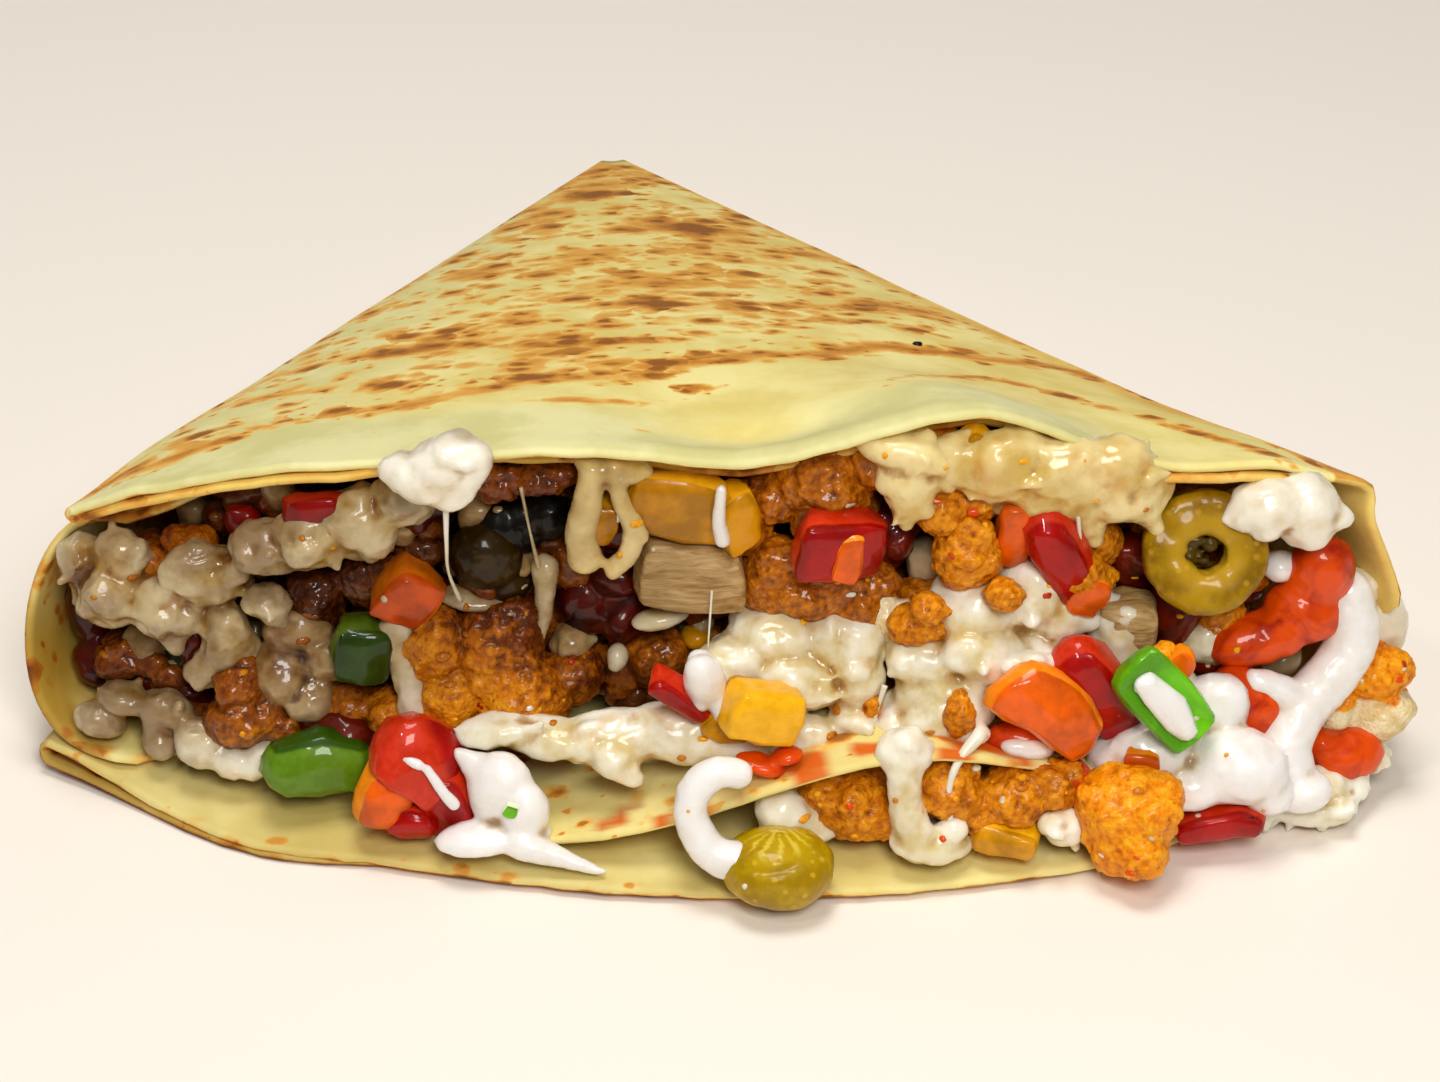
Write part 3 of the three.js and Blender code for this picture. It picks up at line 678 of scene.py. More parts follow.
@dataclass(frozen=True)
class FibreFinish(Finish):
    """Cooked chicken breast: pale meat in long fibres."""

    _: KW_ONLY
    gloss: Gloss = MEATY
    relief: float = 0.7
    relief_depth: float = 0.0005
    slot: str = "chicken_breast"

    def surface(self, bench: Bench, effects: Effects, where: Socket) -> tuple[Socket, Socket]:
        """Builds fibres along the slice and their relief."""
        run = bench.add("ShaderNodeMapping", {"Vector": where, "Scale": (0.25, 1.0, 1.6)}).outputs["Vector"]
        strands = bench.noise(run, 620.0, 4.0, 0.6, 0.6)
        stops = ((0.3, colour(138, 98, 44)), (0.5, colour(182, 148, 92)), (0.75, colour(214, 188, 138)))
        return bench.ramp(strands, *stops), strands


@dataclass(frozen=True)
class ChoppedFinish(Finish):
    """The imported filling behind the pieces: chopped chicken, pepper and cheese in dark sauce."""

    _: KW_ONLY
    gloss: Gloss = PACKED
    relief: float = 0.6
    relief_depth: float = 0.0008
    slot: str = "filling"

    def surface(self, bench: Bench, effects: Effects, where: Socket) -> tuple[Socket, Socket]:
        """Builds chopped bits of several colours, dark brown between them.

        Args:
            bench: The bench of the material's tree.
            effects: The shared node groups.
            where: The object coordinates.

        Returns:
            The colour socket and the height socket.
        """
        drift = {0: where, 1: bench.times(bench.noise(where, 190.0, 2.0, 0.5), 0.004)}
        moved = bench.add("ShaderNodeVectorMath", drift, operation="ADD").outputs[0]
        distance, chance = bench.cells(moved, 165.0)
        bits = bench.ramp(
            chance,
            (0.0, colour(112, 54, 14)),
            (0.30, colour(150, 84, 24)),
            (0.55, colour(96, 22, 8)),
            (0.70, colour(186, 150, 96)),
            (0.86, colour(150, 40, 10)),
            (1.0, colour(128, 104, 20)),
        )
        # the gaps between the bits are dark brown
        shade = bench.mix(bench.band(distance, 0.3, 0.62), bits, colour(58, 18, 6))
        return shade, bench.use(effects.grain, Vector=where, Scale=800.0, Crumbs=0.4)


class Tone(Enum):
    """How dark a piece of crumbed chicken was fried."""

    BRIGHT = "crumb_bright"
    GOLD = "crumb_gold"
    BROWN = "crumb_brown"
    DARK = "crumb_dark"


class Paint(Enum):
    """The finishes of the smooth pieces."""

    CHEESE = "cheese_melted"
    CHEESE_GOLD = "cheese_gold"
    # painted shade: a darker copy of the cheese
    CHEESE_SHADE = "cheese_in_oil"
    CREAM = "cream_white"
    # partly painted shade: a warmer, darker copy of the cream
    CREAM_WARM = "cream_warm"
    RED_PEPPER = "pepper_red"
    ORANGE_PEPPER = "pepper_orange"
    YELLOW_PEPPER = "pepper_yellow"
    GREEN_PEPPER = "pepper_green"
    DARK_GREEN_PEPPER = "pepper_dark_green"
    GREEN_OLIVE = "olive_green"
    RING_OLIVE = "olive_ring_flesh"
    SHADY_OLIVE = "olive_shady"
    BLACK_OLIVE = "olive_black"
    TOMATO = "tomato_sauce"
    DARK_SAUCE = "sauce_dark"
    BREAST = "breast_meat"
    CHOPPED = "filling_chopped"
    CREPE = "crepe_griddled"


FINISHES: dict[Enum, Finish] = {
    Tone.BRIGHT: CrumbFinish(colour(255, 182, 28), colour(240, 140, 2), colour(180, 88, 0)),
    Tone.GOLD: CrumbFinish(colour(246, 164, 26), colour(206, 118, 2), colour(124, 58, 0)),
    Tone.BROWN: CrumbFinish(
        colour(218, 132, 18), colour(160, 84, 0), colour(82, 34, 0), gloss=GLAZED, relief=0.8
    ),
    Tone.DARK: CrumbFinish(
        colour(158, 92, 14), colour(104, 50, 2), colour(44, 18, 0), gloss=GLAZED, relief=0.8
    ),
    Paint.CHEESE: MeltFinish(
        colour(246, 242, 224), colour(214, 194, 134), colour(216, 156, 46), colour(188, 142, 66), 0.45
    ),
    Paint.CHEESE_GOLD: MeltFinish(
        colour(236, 216, 156), colour(206, 172, 88), colour(206, 140, 34), colour(160, 104, 22), 0.6
    ),
    # a darker copy of the cheese: painted shade for pieces deep in the mouth
    Paint.CHEESE_SHADE: MeltFinish(
        colour(218, 196, 154), colour(180, 142, 88), colour(176, 104, 30), colour(92, 48, 12), 0.6, 170.0
    ),
    # a warmer, darker copy of the cream: partly its own tone, partly painted shade for pieces under the lip
    # and at the back
    Paint.CREAM_WARM: MeltFinish(
        colour(244, 238, 222), colour(222, 206, 170), colour(226, 196, 132), colour(190, 158, 104),
        0.4, 90.0, gloss=SMOOTH, relief=0.2, slot="cream",
    ),
    Paint.CREAM: MeltFinish(
        colour(246, 243, 240), colour(236, 230, 222), colour(244, 226, 198), colour(216, 196, 166),
        0.25, 90.0, gloss=SMOOTH, relief=0.12, slot="cream",
    ),
    Paint.RED_PEPPER: PepperFinish(colour(176, 6, 0), colour(196, 40, 2), slot="red_pepper"),
    Paint.ORANGE_PEPPER: PepperFinish(colour(242, 98, 2), colour(244, 134, 6), slot="orange_pepper"),
    Paint.YELLOW_PEPPER: PepperFinish(colour(222, 152, 0), colour(232, 170, 0), slot="yellow_pepper"),
    Paint.GREEN_PEPPER: PepperFinish(colour(112, 200, 12), colour(226, 232, 196), slot="green_pepper"),
    Paint.DARK_GREEN_PEPPER: PepperFinish(colour(46, 78, 0), colour(86, 122, 4), slot="green_pepper"),
    Paint.GREEN_OLIVE: OliveFinish(colour(186, 152, 0), colour(156, 122, 0), colour(214, 190, 64)),
    Paint.RING_OLIVE: OliveFinish(colour(170, 130, 4), colour(128, 92, 0), colour(180, 140, 26)),
    Paint.SHADY_OLIVE: OliveFinish(colour(74, 58, 0), colour(46, 34, 0), colour(104, 74, 14)),
    Paint.BLACK_OLIVE: OliveFinish(
        colour(24, 18, 10), colour(11, 8, 5), colour(44, 34, 20), slot="black_olive"
    ),
    Paint.TOMATO: SauceFinish(colour(228, 76, 2), colour(160, 20, 0)),
    Paint.DARK_SAUCE: SauceFinish(colour(112, 22, 0), colour(54, 8, 0), relief=0.3),
    Paint.BREAST: FibreFinish(),
    Paint.CHOPPED: ChoppedFinish(),
    Paint.CREPE: CrepeFinish(),
}


# ------------ modelling
@dataclass
class Clay:
    """A mesh while it is being modelled, in millimetres from the middle of the mouth."""

    bm: bmesh.types.BMesh = field(default_factory=bmesh.new)

    def ball(self, centre: Triple, size: Triple, turn: Triple = (0, 0, 0), divisions: int = 3) -> None:
        """Adds an egg shape.

        Args:
            centre: Its middle.
            size: Its three widths.
            turn: Its rotation about x, y and z in degrees.
            divisions: How finely it is divided.
        """
        made = bmesh.ops.create_icosphere(self.bm, subdivisions=divisions, radius=0.5)["verts"]
        bmesh.ops.transform(self.bm, matrix=placed(centre, turn) @ Matrix.Diagonal((*size, 1.0)), verts=made)

    def beads(self, path: Sequence[Triple], first: float, last: float) -> None:
        """Adds balls along a curve, close enough to melt into a cord.

        Args:
            path: The points that the curve goes through.
            first: The radius at its start.
            last: The radius at its end.
        """
        length = sum((Vector(b) - Vector(a)).length for a, b in zip(path, path[1:]))
        count = max(4, int(length / (0.45 * min(first, last))))
        for i, point in enumerate(spline(path, count)):
            self.ball(point, (2 * lerp(first, last, i / (count - 1)),) * 3, divisions=2)

    def cord(self, path: Sequence[Triple], radii: Sequence[float], sides: int = 8, steps: int = 24) -> None:
        """Adds a closed tube along a curve.

        Args:
            path: The points that the curve goes through.
            radii: Its radius at places evenly spaced along it.
            sides: How many sides the tube has.
            steps: How many rings it has.
        """
        points = spline(path, steps + 1)
        ring = bmesh.ops.create_circle(self.bm, segments=sides, radius=1.0)["verts"]
        edges = start_edges = list(dict.fromkeys(e for v in ring for e in v.link_edges))
        angles = {v: math.atan2(v.co.y, v.co.x) for v in ring}
        for i, point in enumerate(points):
            if i:
                grown = bmesh.ops.extrude_edge_only(self.bm, edges=edges)["geom"]
                edges = [g for g in grown if isinstance(g, bmesh.types.BMEdge)]
                ring = [g for g in grown if isinstance(g, bmesh.types.BMVert)]
                near = {v: [e.other_vert(v) for e in v.link_edges] for v in ring}
                angles = {v: next(angles[w] for w in others if w in angles) for v, others in near.items()}
            along = (points[min(i + 1, steps)] - points[max(i - 1, 0)]).normalized()
            first = Vector((0.0, 1.0, 0.0)).cross(along).normalized()
            second = along.cross(first)
            place = i / steps * (len(radii) - 1)
            k = min(int(place), len(radii) - 2)
            radius = lerp(radii[k], radii[k + 1], place - k)
            for v, angle in angles.items():
                v.co = point + radius * (math.cos(angle) * first + math.sin(angle) * second)
        for end in (start_edges, edges):
            bmesh.ops.edgeloop_fill(self.bm, edges=end)

    def melt(self, voxel: float, smooth: int) -> None:
        """Melts everything so far into one skin.

        Args:
            voxel: How fine the skin is.
            smooth: How many times it is smoothed.
        """
        mesh = bpy.data.meshes.new("melting")
        self.bm.to_mesh(mesh)
        body = bpy.data.objects.new("melting", mesh)
        bpy.context.scene.collection.objects.link(body)
        remesh = body.modifiers.new("skin", "REMESH")
        remesh.mode = "VOXEL"
        remesh.voxel_size = voxel
        soften = body.modifiers.new("soft", "SMOOTH")
        soften.factor = 0.5
        soften.iterations = smooth
        graph = bpy.context.evaluated_depsgraph_get()
        skin = bpy.data.meshes.new_from_object(body.evaluated_get(graph))
        self.bm.clear()
        self.bm.from_mesh(skin)
        bpy.data.objects.remove(body)
        bpy.data.meshes.remove(mesh)
        bpy.data.meshes.remove(skin)

    def swell(self, amount: Callable[[Vector], float]) -> None:
        """Moves vertices along their normals by a function of their place."""
        self.bm.normal_update()
        moves = [(v, v.normal.copy() * amount(v.co)) for v in self.bm.verts]
        for v, move in moves:
            v.co += move

    def mark(self, name: str, value: Callable[[bmesh.types.BMVert], float]) -> None:
        """Gives every vertex a value that the finish reads."""
        layer = self.bm.verts.layers.float.new(name)
        for v in self.bm.verts:
            v[layer] = value(v)

    def mark_creases(self, reach: float = 0.04, passes: int = 6) -> None:
        """Marks how far each place lies in a crease, where cheese and cream get painted shade and a painted
        highlight: 0.5 on flat clay, 1 deep in a crease and 0 on a ridge.

        Args:
            reach: How far a place lies below its neighbours, for the full mark.
            passes: How many times the marks are spread to their neighbours.
        """
        self.bm.normal_update()
        self.bm.verts.index_update()
        near = [[e.other_vert(v).index for e in v.link_edges] for v in self.bm.verts]
        places = [v.co.copy() for v in self.bm.verts]
        sunk = []
        for v, others in zip(self.bm.verts, near):
            middle = sum((places[i] for i in others), Vector()) / len(others)
            sunk.append(v.normal.dot(middle - v.co))
        for _ in range(passes):
            spread = zip(sunk, near)
            sunk = [(own + sum(sunk[i] for i in others)) / (1 + len(others)) for own, others in spread]
        below = 0.3  # what the side that faces down adds, for painted shade under the clay
        self.mark(
            "crease",
            lambda v: clamp(0.5 + 0.5 * sunk[v.index] / reach + below * smooth_step(-v.normal.z, 0.1, 0.9)),
        )


@dataclass
class Kitchen:
    """Turns finished clay into pieces that ride on the frame."""

    materials: dict[Enum, bpy.types.Material]
    pieces: list[bpy.types.Object] = field(default_factory=list)

    def serve(self, name: str, clay: Clay, paint: Enum, nodes: Sequence[str] = ()) -> None:
        """Makes a piece from clay.

        Args:
            name: The piece's name.
            clay: Its finished mesh.
            paint: Its finish.
            nodes: The frame nodes that it stands for.
        """
        bmesh.ops.transform(clay.bm, matrix=TO_ROW, verts=clay.bm.verts)
        for face in clay.bm.faces:
            face.smooth = True
        mesh = bpy.data.meshes.new(name)
        clay.bm.to_mesh(mesh)
        clay.bm.free()
        mesh.materials.append(self.materials[paint])
        piece = bpy.data.objects.new(name, mesh)
        bpy.context.scene.collection.objects.link(piece)
        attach(piece, "root")
        if nodes:
            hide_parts(*nodes)
        self.pieces.append(piece)
        LOG.info("%s: %d faces", name, len(mesh.polygons))


# ------------ the crepe
@dataclass(frozen=True)
class Sheet:
    """A sector of the crepe between two folds, about the tip of the fan."""

    index: int  # its place in the stack, from below
    left: float  # its edges, in degrees from the middle
    right: float
    height: Callable[[float], float]  # of its front edge
    front: Callable[[float], float]  # where its front edge lies
    browned: tuple[float, float]  # how brown its two faces are

    @property
    def upper(self) -> bool:
        """Whether it lies above the filling."""
        return self.index > 2


@dataclass(frozen=True)
class Fold:
    """A fold that joins two sheets at their edges."""

    side: int  # 1 at the right and -1 at the left
    bulge: float = 0.0  # how far it stands out at the mouth
    sag: float = 0.0  # how much more it stands out at its lower half
    round: float = 1.0  # below 1 it is boxy
    lip: float = 0.0  # how far its upper corner curls out at the mouth
    retreat: float = 0.0  # how far its lower half stops short of the mouth, as a share of its length


@dataclass(frozen=True)
class Column:
    """A line of the crepe that runs from the tip to the mouth."""

    point: Callable[[float], Vector]
    sheet: Sheet
    angle: float
    fold: Fold | None = None
    turn: float = 0.0  # how far round the fold it lies, from -90 to 90


@dataclass(frozen=True)
class Scorch:
    """A browner patch of the top sheet: where it is, how far it reaches each way, and how brown it is."""

    angle: float
    share: float
    wide: float
    deep: float
    strength: float


@dataclass
class FoldedCrepe:
    """The crepe: one thin round sheet, pleated six times about the tip of the fan."""

    tip_x: float = -21.0
    tip_y: float = 206.0
    tip_radius: float = 4.0
    thickness: float = 1.4
    pitch: float = 2.6  # from one sheet to the next, where they are pressed together
    pinch: float = 0.5  # how thin they are pressed at the tip
    pinch_until: float = 0.9
    half_width: float = 97.0
    corner_height: float = 46.5
    crown_rise: float = 18.5
    corner_lip: float = 3.0
    rings: int = 84
    scorches: tuple[Scorch, ...] = (
        Scorch(-4.9, 0.15, 9, 0.016, 0.42),
        Scorch(3, 0.11, 12, 0.02, 0.12),
        Scorch(14.5, 0.29, 7, 0.018, 0.42),
        Scorch(9, 0.27, 5, 0.02, 0.16),
        Scorch(27.1, 0.365, 3.4, 0.018, 0.34),
        Scorch(-14.5, 0.32, 2.4, 0.014, 0.24),
        Scorch(-1.2, 0.4, 4.5, 0.03, 0.2),
        Scorch(-13.5, 0.437, 3.4, 0.018, 0.26),
        Scorch(4.3, 0.497, 4, 0.03, 0.14),
        Scorch(9.9, 0.503, 3, 0.016, 0.16),
        Scorch(5.5, 0.576, 4, 0.018, 0.22),
        Scorch(25.2, 0.556, 3.4, 0.02, 0.3),
        Scorch(19.6, 0.57, 3.4, 0.012, 0.2),
        Scorch(-12.5, 0.696, 4.2, 0.024, 0.3),
        Scorch(-3.1, 0.542, 3.6, 0.02, 0.12),
        Scorch(2.7, 0.708, 4.4, 0.014, 0.24),
        Scorch(4.1, 0.771, 5, 0.012, 0.2),
        Scorch(-1.7, 0.733, 3.4, 0.012, 0.16),
        Scorch(-17.3, 0.79, 2.5, 0.012, 0.2),
        Scorch(2.9, 0.938, 1.1, 0.010, 0.44),
        Scorch(5.9, 0.833, 1.4, 0.010, 0.4),
        Scorch(-1.8, 0.94, 1.0, 0.010, 0.22),
    )

    def __post_init__(self) -> None:
        """Settles the sheets and the folds between them."""
        top_front = self.top_front
        self.floor = Sheet(
            0, -23.7, 30,
            lambda x: self.level(0) + self.tip_rise(x) / 3,
            lambda x: self.floor_front(x) - 0.4 + 3.4 * smooth_step(x, -62, -34),
            (0.3, 0.52),
        )
        self.lower = Sheet(
            1, -23.7, 29.4, lambda x: self.level(0.6) + 0.9 * self.tip_rise(x), self.floor_front, (0.4, 0.27)
        )
        self.inner = Sheet(
            2, -20.4, 27,
            lambda x: self.level(1.2) + self.tip_rise(x) + 17 * bell(x, 28, 36),
            lambda x: -9 + 25 * (x / 100) ** 2 + 9 * (smooth_step(x, -93, -82) - smooth_step(x, -48, -33)),
            (0.34, 0.36),
        )
        self.cover = Sheet(
            3, -20.9, 29,
            lambda x: self.crown(x) - 1.4 * self.pitch - 4.5 * bell(x, -89, 13),
            lambda x: top_front(x) + 6,
            (0.38, 0.34),
        )
        self.second = Sheet(
            4, -22.2, 29.2,
            lambda x: self.crown(x) - 0.62 * self.pitch - 0.52 * max(0.0, self.second_back(x)),
            lambda x: top_front(x) + self.second_back(x),
            (0.4, 0.44),
        )
        self.top = Sheet(5, -22.2, 30.5, self.crown, top_front, (0.44, 0.3))

    def crown(self, x: float) -> float:
        """Returns the height of the top sheet's front edge across the mouth."""
        across = clamp((x + self.half_width) / (2 * self.half_width + 3), 0.001, 0.999)
        return self.corner_height + self.crown_rise * math.sin(math.pi * across) ** 0.7

    @staticmethod
    def lip(x: float) -> float:
        """Returns how far the upper sheets' front edges wave up or down."""
        return 7 * bell(x, 38, 18) - 3.5 * bell(x, 3, 15) + 3.8 * bell(x, 84, 13)

    @staticmethod
    def tip_rise(x: float) -> float:
        """Returns how far the lower sheets' left corner turns up."""
        return 4.5 * bell(x, -104, 13)

    @staticmethod
    def floor_front(x: float) -> float:
        """Returns where the floor's front edge lies."""
        side = 3.6 * bell(x, -72, 15) + 3.6 * bell(x, 97, 14) - 5.5 * bell(x, 78, 9)
        return -15 + 27 * ((x - 5) / 100) ** 2 - side

    @staticmethod
    def second_back(x: float) -> float:
        """Returns how far the second sheet's front edge lies behind the top one's."""
        return -0.5 * smooth_step(x, -98, -84) + 6 * smooth_step(x, -52, -40) - 6.2 * smooth_step(x, 44, 58)

    @staticmethod
    def top_front(x: float) -> float:
        """Returns where the top sheet's front edge lies."""
        return 9 + 10 * ((x - 5) / 95) ** 2

    def level(self, index: float) -> float:
        """Returns the height of a sheet where all of them are pressed together."""
        return self.thickness / 2 + index * self.pitch

    def squeezed(self, share: float) -> float:
        """Returns what is left of the sheets' thickness at a share of the way to the mouth."""
        return lerp(self.pinch, 1, min(1.0, share / self.pinch_until))

    def sheet_column(self, sheet: Sheet, angle: float) -> Column:
        """Lays a line across a sheet.

        Args:
            sheet: The sheet.
            angle: The line's angle from the middle, in degrees.

        Returns:
            The column.
        """
        tilt = math.radians(angle)
        mouth_x = self.tip_x
        for _ in range(5):
            mouth_x = self.tip_x + (self.tip_y - sheet.front(mouth_x)) * math.tan(tilt)
        reach = (self.tip_y - sheet.front(mouth_x)) / math.cos(tilt)
        base, height = self.level(sheet.index), sheet.height(mouth_x)
        wave = self.lip(mouth_x) if sheet.upper else 0.0
        trough = 1.9 * bell(mouth_x, 9, 16) if sheet.upper else 0.0
        roll = 0.9 * bell(mouth_x, 8, 30) if sheet is self.top else 0.0
        droop = 0.8 if sheet is self.lower else 0.0

        def point(share: float) -> Vector:
            """Returns the column's point at a share of the way to the mouth.

            Args:
                share: How far from the tip to the mouth.

            Returns:
                The point.
            """
            radius = lerp(self.tip_radius, reach, share)
            x, y = self.tip_x + radius * math.sin(tilt), self.tip_y - radius * math.cos(tilt)
            z = self.squeezed(share) * base + share * (height - base) + wave * smooth_step(share, 0.72, 1)
            z -= trough * bell(share, 0.935, 0.028)
            z += roll * bell(share, 0.985, 0.014)
            if sheet.upper:
                z += 0.8 * share * noise.noise(Vector((x / 21, y / 30, 3)))
                z += 0.5 * smooth_step(share, 0.93, 1) * noise.noise(Vector((x / 6, 7, sheet.index)))
            else:
                z -= droop * smooth_step(share, 0.955, 0.995)
                y += 0.5 * smooth_step(share, 0.96, 1) * noise.noise(Vector((x / 5, 2, sheet.index)))
            return Vector((x, y, z))

        return Column(point, sheet, angle)

    def fold_column(self, first: Sheet, other: Sheet, fold: Fold, turn: float) -> Column:
        """Lays a line along a fold.

        Args:
            first: The sheet that the fold comes from.
            other: The sheet that it goes to.
            fold: Its shape.
            turn: From -90 at the first sheet to 90 at the other.

        Returns:
            The column.
        """
        edges = [sheet.right if fold.side > 0 else sheet.left for sheet in (first, other)]
        angle = math.radians(sum(edges) / 2)
        ends = [self.sheet_column(sheet, edge).point for sheet, edge in zip((first, other), edges)]
        outwards = Vector((math.cos(angle), math.sin(angle), 0)) * fold.side
        rise, open_ = math.sin(math.radians(turn)), math.cos(math.radians(turn))
        step = other.index - first.index
        short = 1 - fold.retreat * smooth_step(-turn, -12, 22) * smooth_step(turn, -90, -60)

        def point(share: float) -> Vector:
            """Returns the column's point at a share of the way to the mouth.

            Args:
                share: How far from the tip to the mouth.

            Returns:
                The point.
            """
            share *= short
            a, b = (end(share) for end in ends)
            tight = self.squeezed(share) * self.pitch * min(2, abs(step)) / 2
            swell = fold.bulge * share * (1 - fold.sag * rise * math.copysign(1, step))
            corner = fold.lip * share**10 * bell(turn, 60, 12)
            out = (tight + swell) * open_**fold.round + corner
            return (a + b) / 2 + (b - a) / 2 * rise + outwards * out

        return Column(point, other if turn > 0 else first, edges[turn > 0], fold, turn)

    def columns(self) -> list[Column]:
        """Returns the lines of the crepe in order, from one free edge to the other."""
        lines: list[Column] = []
        pleats = (
            (self.floor, 60, Fold(-1), 6),
            (self.lower, 60, Fold(1, 11.5, 0.5, 1, self.corner_lip, 0.075), 30),
            (self.top, 110, Fold(-1), 6),
            (self.second, 70, Fold(1), 6),
            (self.cover, 70, Fold(-1, 14.6, 0.1, 0.75), 26),
            (self.inner, 60, None, 0),
        )
        for i, (sheet, across, fold, around) in enumerate(pleats):
            start, end = (sheet.left, sheet.right) if i % 2 else (sheet.right, sheet.left)
            lines.extend(self.sheet_column(sheet, lerp(start, end, k / across)) for k in range(across + 1))
            if fold:
                turns = [lerp(-90, 90, k / around) for k in range(1, around)]
                lines.extend(self.fold_column(sheet, pleats[i + 1][0], fold, turn) for turn in turns)
        return lines

    def browning(self, line: Column, share: float, side: int) -> float:
        """Returns how brown a place is.

        Args:
            line: The column that it is on.
            share: Its share of the way from the tip to the mouth.
            side: 1 on the column's first face and -1 on the other.

        Returns:
            About 0.3 for pale batter and 0.6 for a scorched patch.
        """
        plain = line.sheet.browned[0 if side > 0 else 1]
        if line.sheet in (self.floor, self.lower):
            below = side < 0 if line.sheet is self.floor else side > 0
            pale = 1 - 0.9 * smooth_step(line.angle, 4, 14)
            plain += (0.24 if below else 0.04) * smooth_step(share, 0.98, 0.995) * pale
        if line.fold and line.fold.lip and side > 0:
            return plain + 0.16 * smooth_step(line.turn, 40, 60) * smooth_step(share, 0.9, 0.97)
        # painted light: the inside of the curled corner is browned less, for light shining through the sheet
        if line.fold and line.fold.lip:
            return plain - 0.12
        if line.fold or line.sheet is not self.top or side < 0:
            return plain
        first = self.streak(line.angle)
        level = 0.43 - 0.03 * smooth_step(share, 0.35, 0.75) - 0.015 * smooth_step(line.angle, 5, 25)
        beyond = 0.16 + 0.08 * smooth_step(line.angle, 16, 24)
        level = lerp(level, beyond, smooth_step(share, first + 0.012, first + 0.05))
        level = lerp(0.5, level, smooth_step(share, 0.02, 0.05))
        marks = lerp(0.16, 0.34, smooth_step(line.angle, 8, 20)) * bell(share, first, 0.012)
        marks += 0.36 * bell(share, first + 0.072, 0.012) * bell(line.angle, 1.5, 6)
        marks += self.bow(line.angle, share)
        marks += sum(
            s.strength * bell(line.angle, s.angle, s.wide) * bell(share, s.share, s.deep)
            for s in self.scorches
        )
        return level + marks

    @staticmethod
    def bow(angle: float, share: float) -> float:
        """Returns how brown the bow-shaped streak at the right makes a place.

        Args:
            angle: The line's angle about the tip, in degrees.
            share: How far along the line the place is.

        Returns:
            The browning, from 0 to 1.
        """
        middle = 22.5
        curve = 0.0017 if angle < middle else 0.005
        slant = math.hypot(1, 2 * curve * (angle - middle) / 0.0148)
        faint = 1 - 0.4 * smooth_step(angle, 23, 28)
        across = bell(share, 0.79 + curve * (angle - middle) ** 2, 0.009 * slant)
        return 0.36 * faint * across * smooth_step(angle, 12, 17)

    @staticmethod
    def streak(angle: float) -> float:
        """Returns where the long brown streak crosses a line, as a share of the way to the mouth."""
        wave = 0.008 * math.sin(angle / 1.7)
        course = 0.81 - 0.0054 * angle + 0.0024 * max(0.0, angle - 20) ** 1.5
        return course + 0.028 * smooth_step(-angle, 15, 22) + wave

    def warmth(self, line: Column, share: float, side: int) -> float:
        """Returns how yellow or orange the batter is.

        Args:
            line: The column that the place is on.
            share: Its share of the way from the tip to the mouth.
            side: 1 on the column's first face and -1 on the other.

        Returns:
            0 for greenish cream and 1 for gold.
        """
        # the curled corner is gold: partly its own gold, partly painted light shining through the sheet
        if line.fold and line.fold.lip:
            return 0.85
        if line.fold and line.fold.bulge:
            return 0.75 if side > 0 else 0.55
        if line.sheet is self.top and side > 0:
            level = 0.5 + 0.1 * smooth_step(line.angle, 2, 22) + 0.35 * smooth_step(line.angle, 28, 30.5)
            level -= 0.3 * smooth_step(-line.angle, 4, 18)
            front = smooth_step(share, 0.86, 0.93)
            level = lerp(level, 0.1 + 0.3 * smooth_step(line.angle, 20, 26), front)
            return level + 0.3 * bell(share, 0.925, 0.022) * bell(line.angle, 7.5, 4.5)
        if line.sheet is self.second:
            return 0.9
        if line.sheet is self.floor:
            return 0.4 if side > 0 else 0.95
        return 0.35 if side < 0 else 0.7

    def soaked(self, line: Column, share: float, side: int) -> float:
        """Returns how dark and olive a place is made: partly oil from the filling, partly painted shade on
        the left fold's wall and the floor's left flap.

        Args:
            line: The column that the place is on.
            share: Its share of the way from the tip to the mouth.
            side: 1 on the column's first face and -1 on the other.

        Returns:
            0 for plain batter and 1 for the darkest olive.
        """
        if line.fold and line.fold.bulge:
            at_right = 0.2 * smooth_step(-line.turn, -20, 60)
            return 0.92 * (smooth_step(line.turn, -50, 20) if line.fold.side < 0 else at_right)
        if line.sheet is self.floor or (line.fold and line.sheet is self.lower):
            return 0.75 * smooth_step(-line.angle, -6, 4)
        if line.sheet is self.lower and side < 0:
            return 0.34 * smooth_step(share, 0.8, 0.9) * (1 - smooth_step(line.angle, 4, 14))
        return 0.25 if line.sheet is self.cover else 0.0

    def stain(self, line: Column, share: float, side: int) -> float:
        """Returns how much orange sauce has soaked into a place.

        Args:
            line: The column that the place is on.
            share: Its share of the way from the tip to the mouth.
            side: 1 on the column's first face and -1 on the other.

        Returns:
            0 for none and 1 for a full stain.
        """
        if line.sheet is not self.inner or side > 0 or line.fold:
            return 0.0
        ragged = smooth_step(noise.noise(Vector((line.angle / 1.4, share * 40, 5))), -0.15, 0.25)
        sauced = smooth_step(line.angle, 4, 9) * smooth_step(share, 0.86, 0.9)
        edge = smooth_step(share, 0.94, 1) * bell(line.angle, 2, 6)
        return 0.9 * ragged * max(edge, sauced)

    def build(self, kitchen: Kitchen) -> None:
        """Builds the folded sheet with its marks and serves it.

        Args:
            kitchen: Where the pieces are dressed and served.
        """
        lines = self.columns()
        last, rings = len(lines) - 1, self.rings
        shares = [1 - (1 - j / rings) ** 1.25 for j in range(rings + 1)]
        middle = [[line.point(share) for share in shares] for line in lines]
        length = self.tip_y - 10  # of a line, on average
        bend = [0.0]  # the angle of each line in the flat sheet
        for before, after in zip(middle, middle[1:]):
            bend.append(bend[-1] + (after[-1] - before[-1]).length / length)

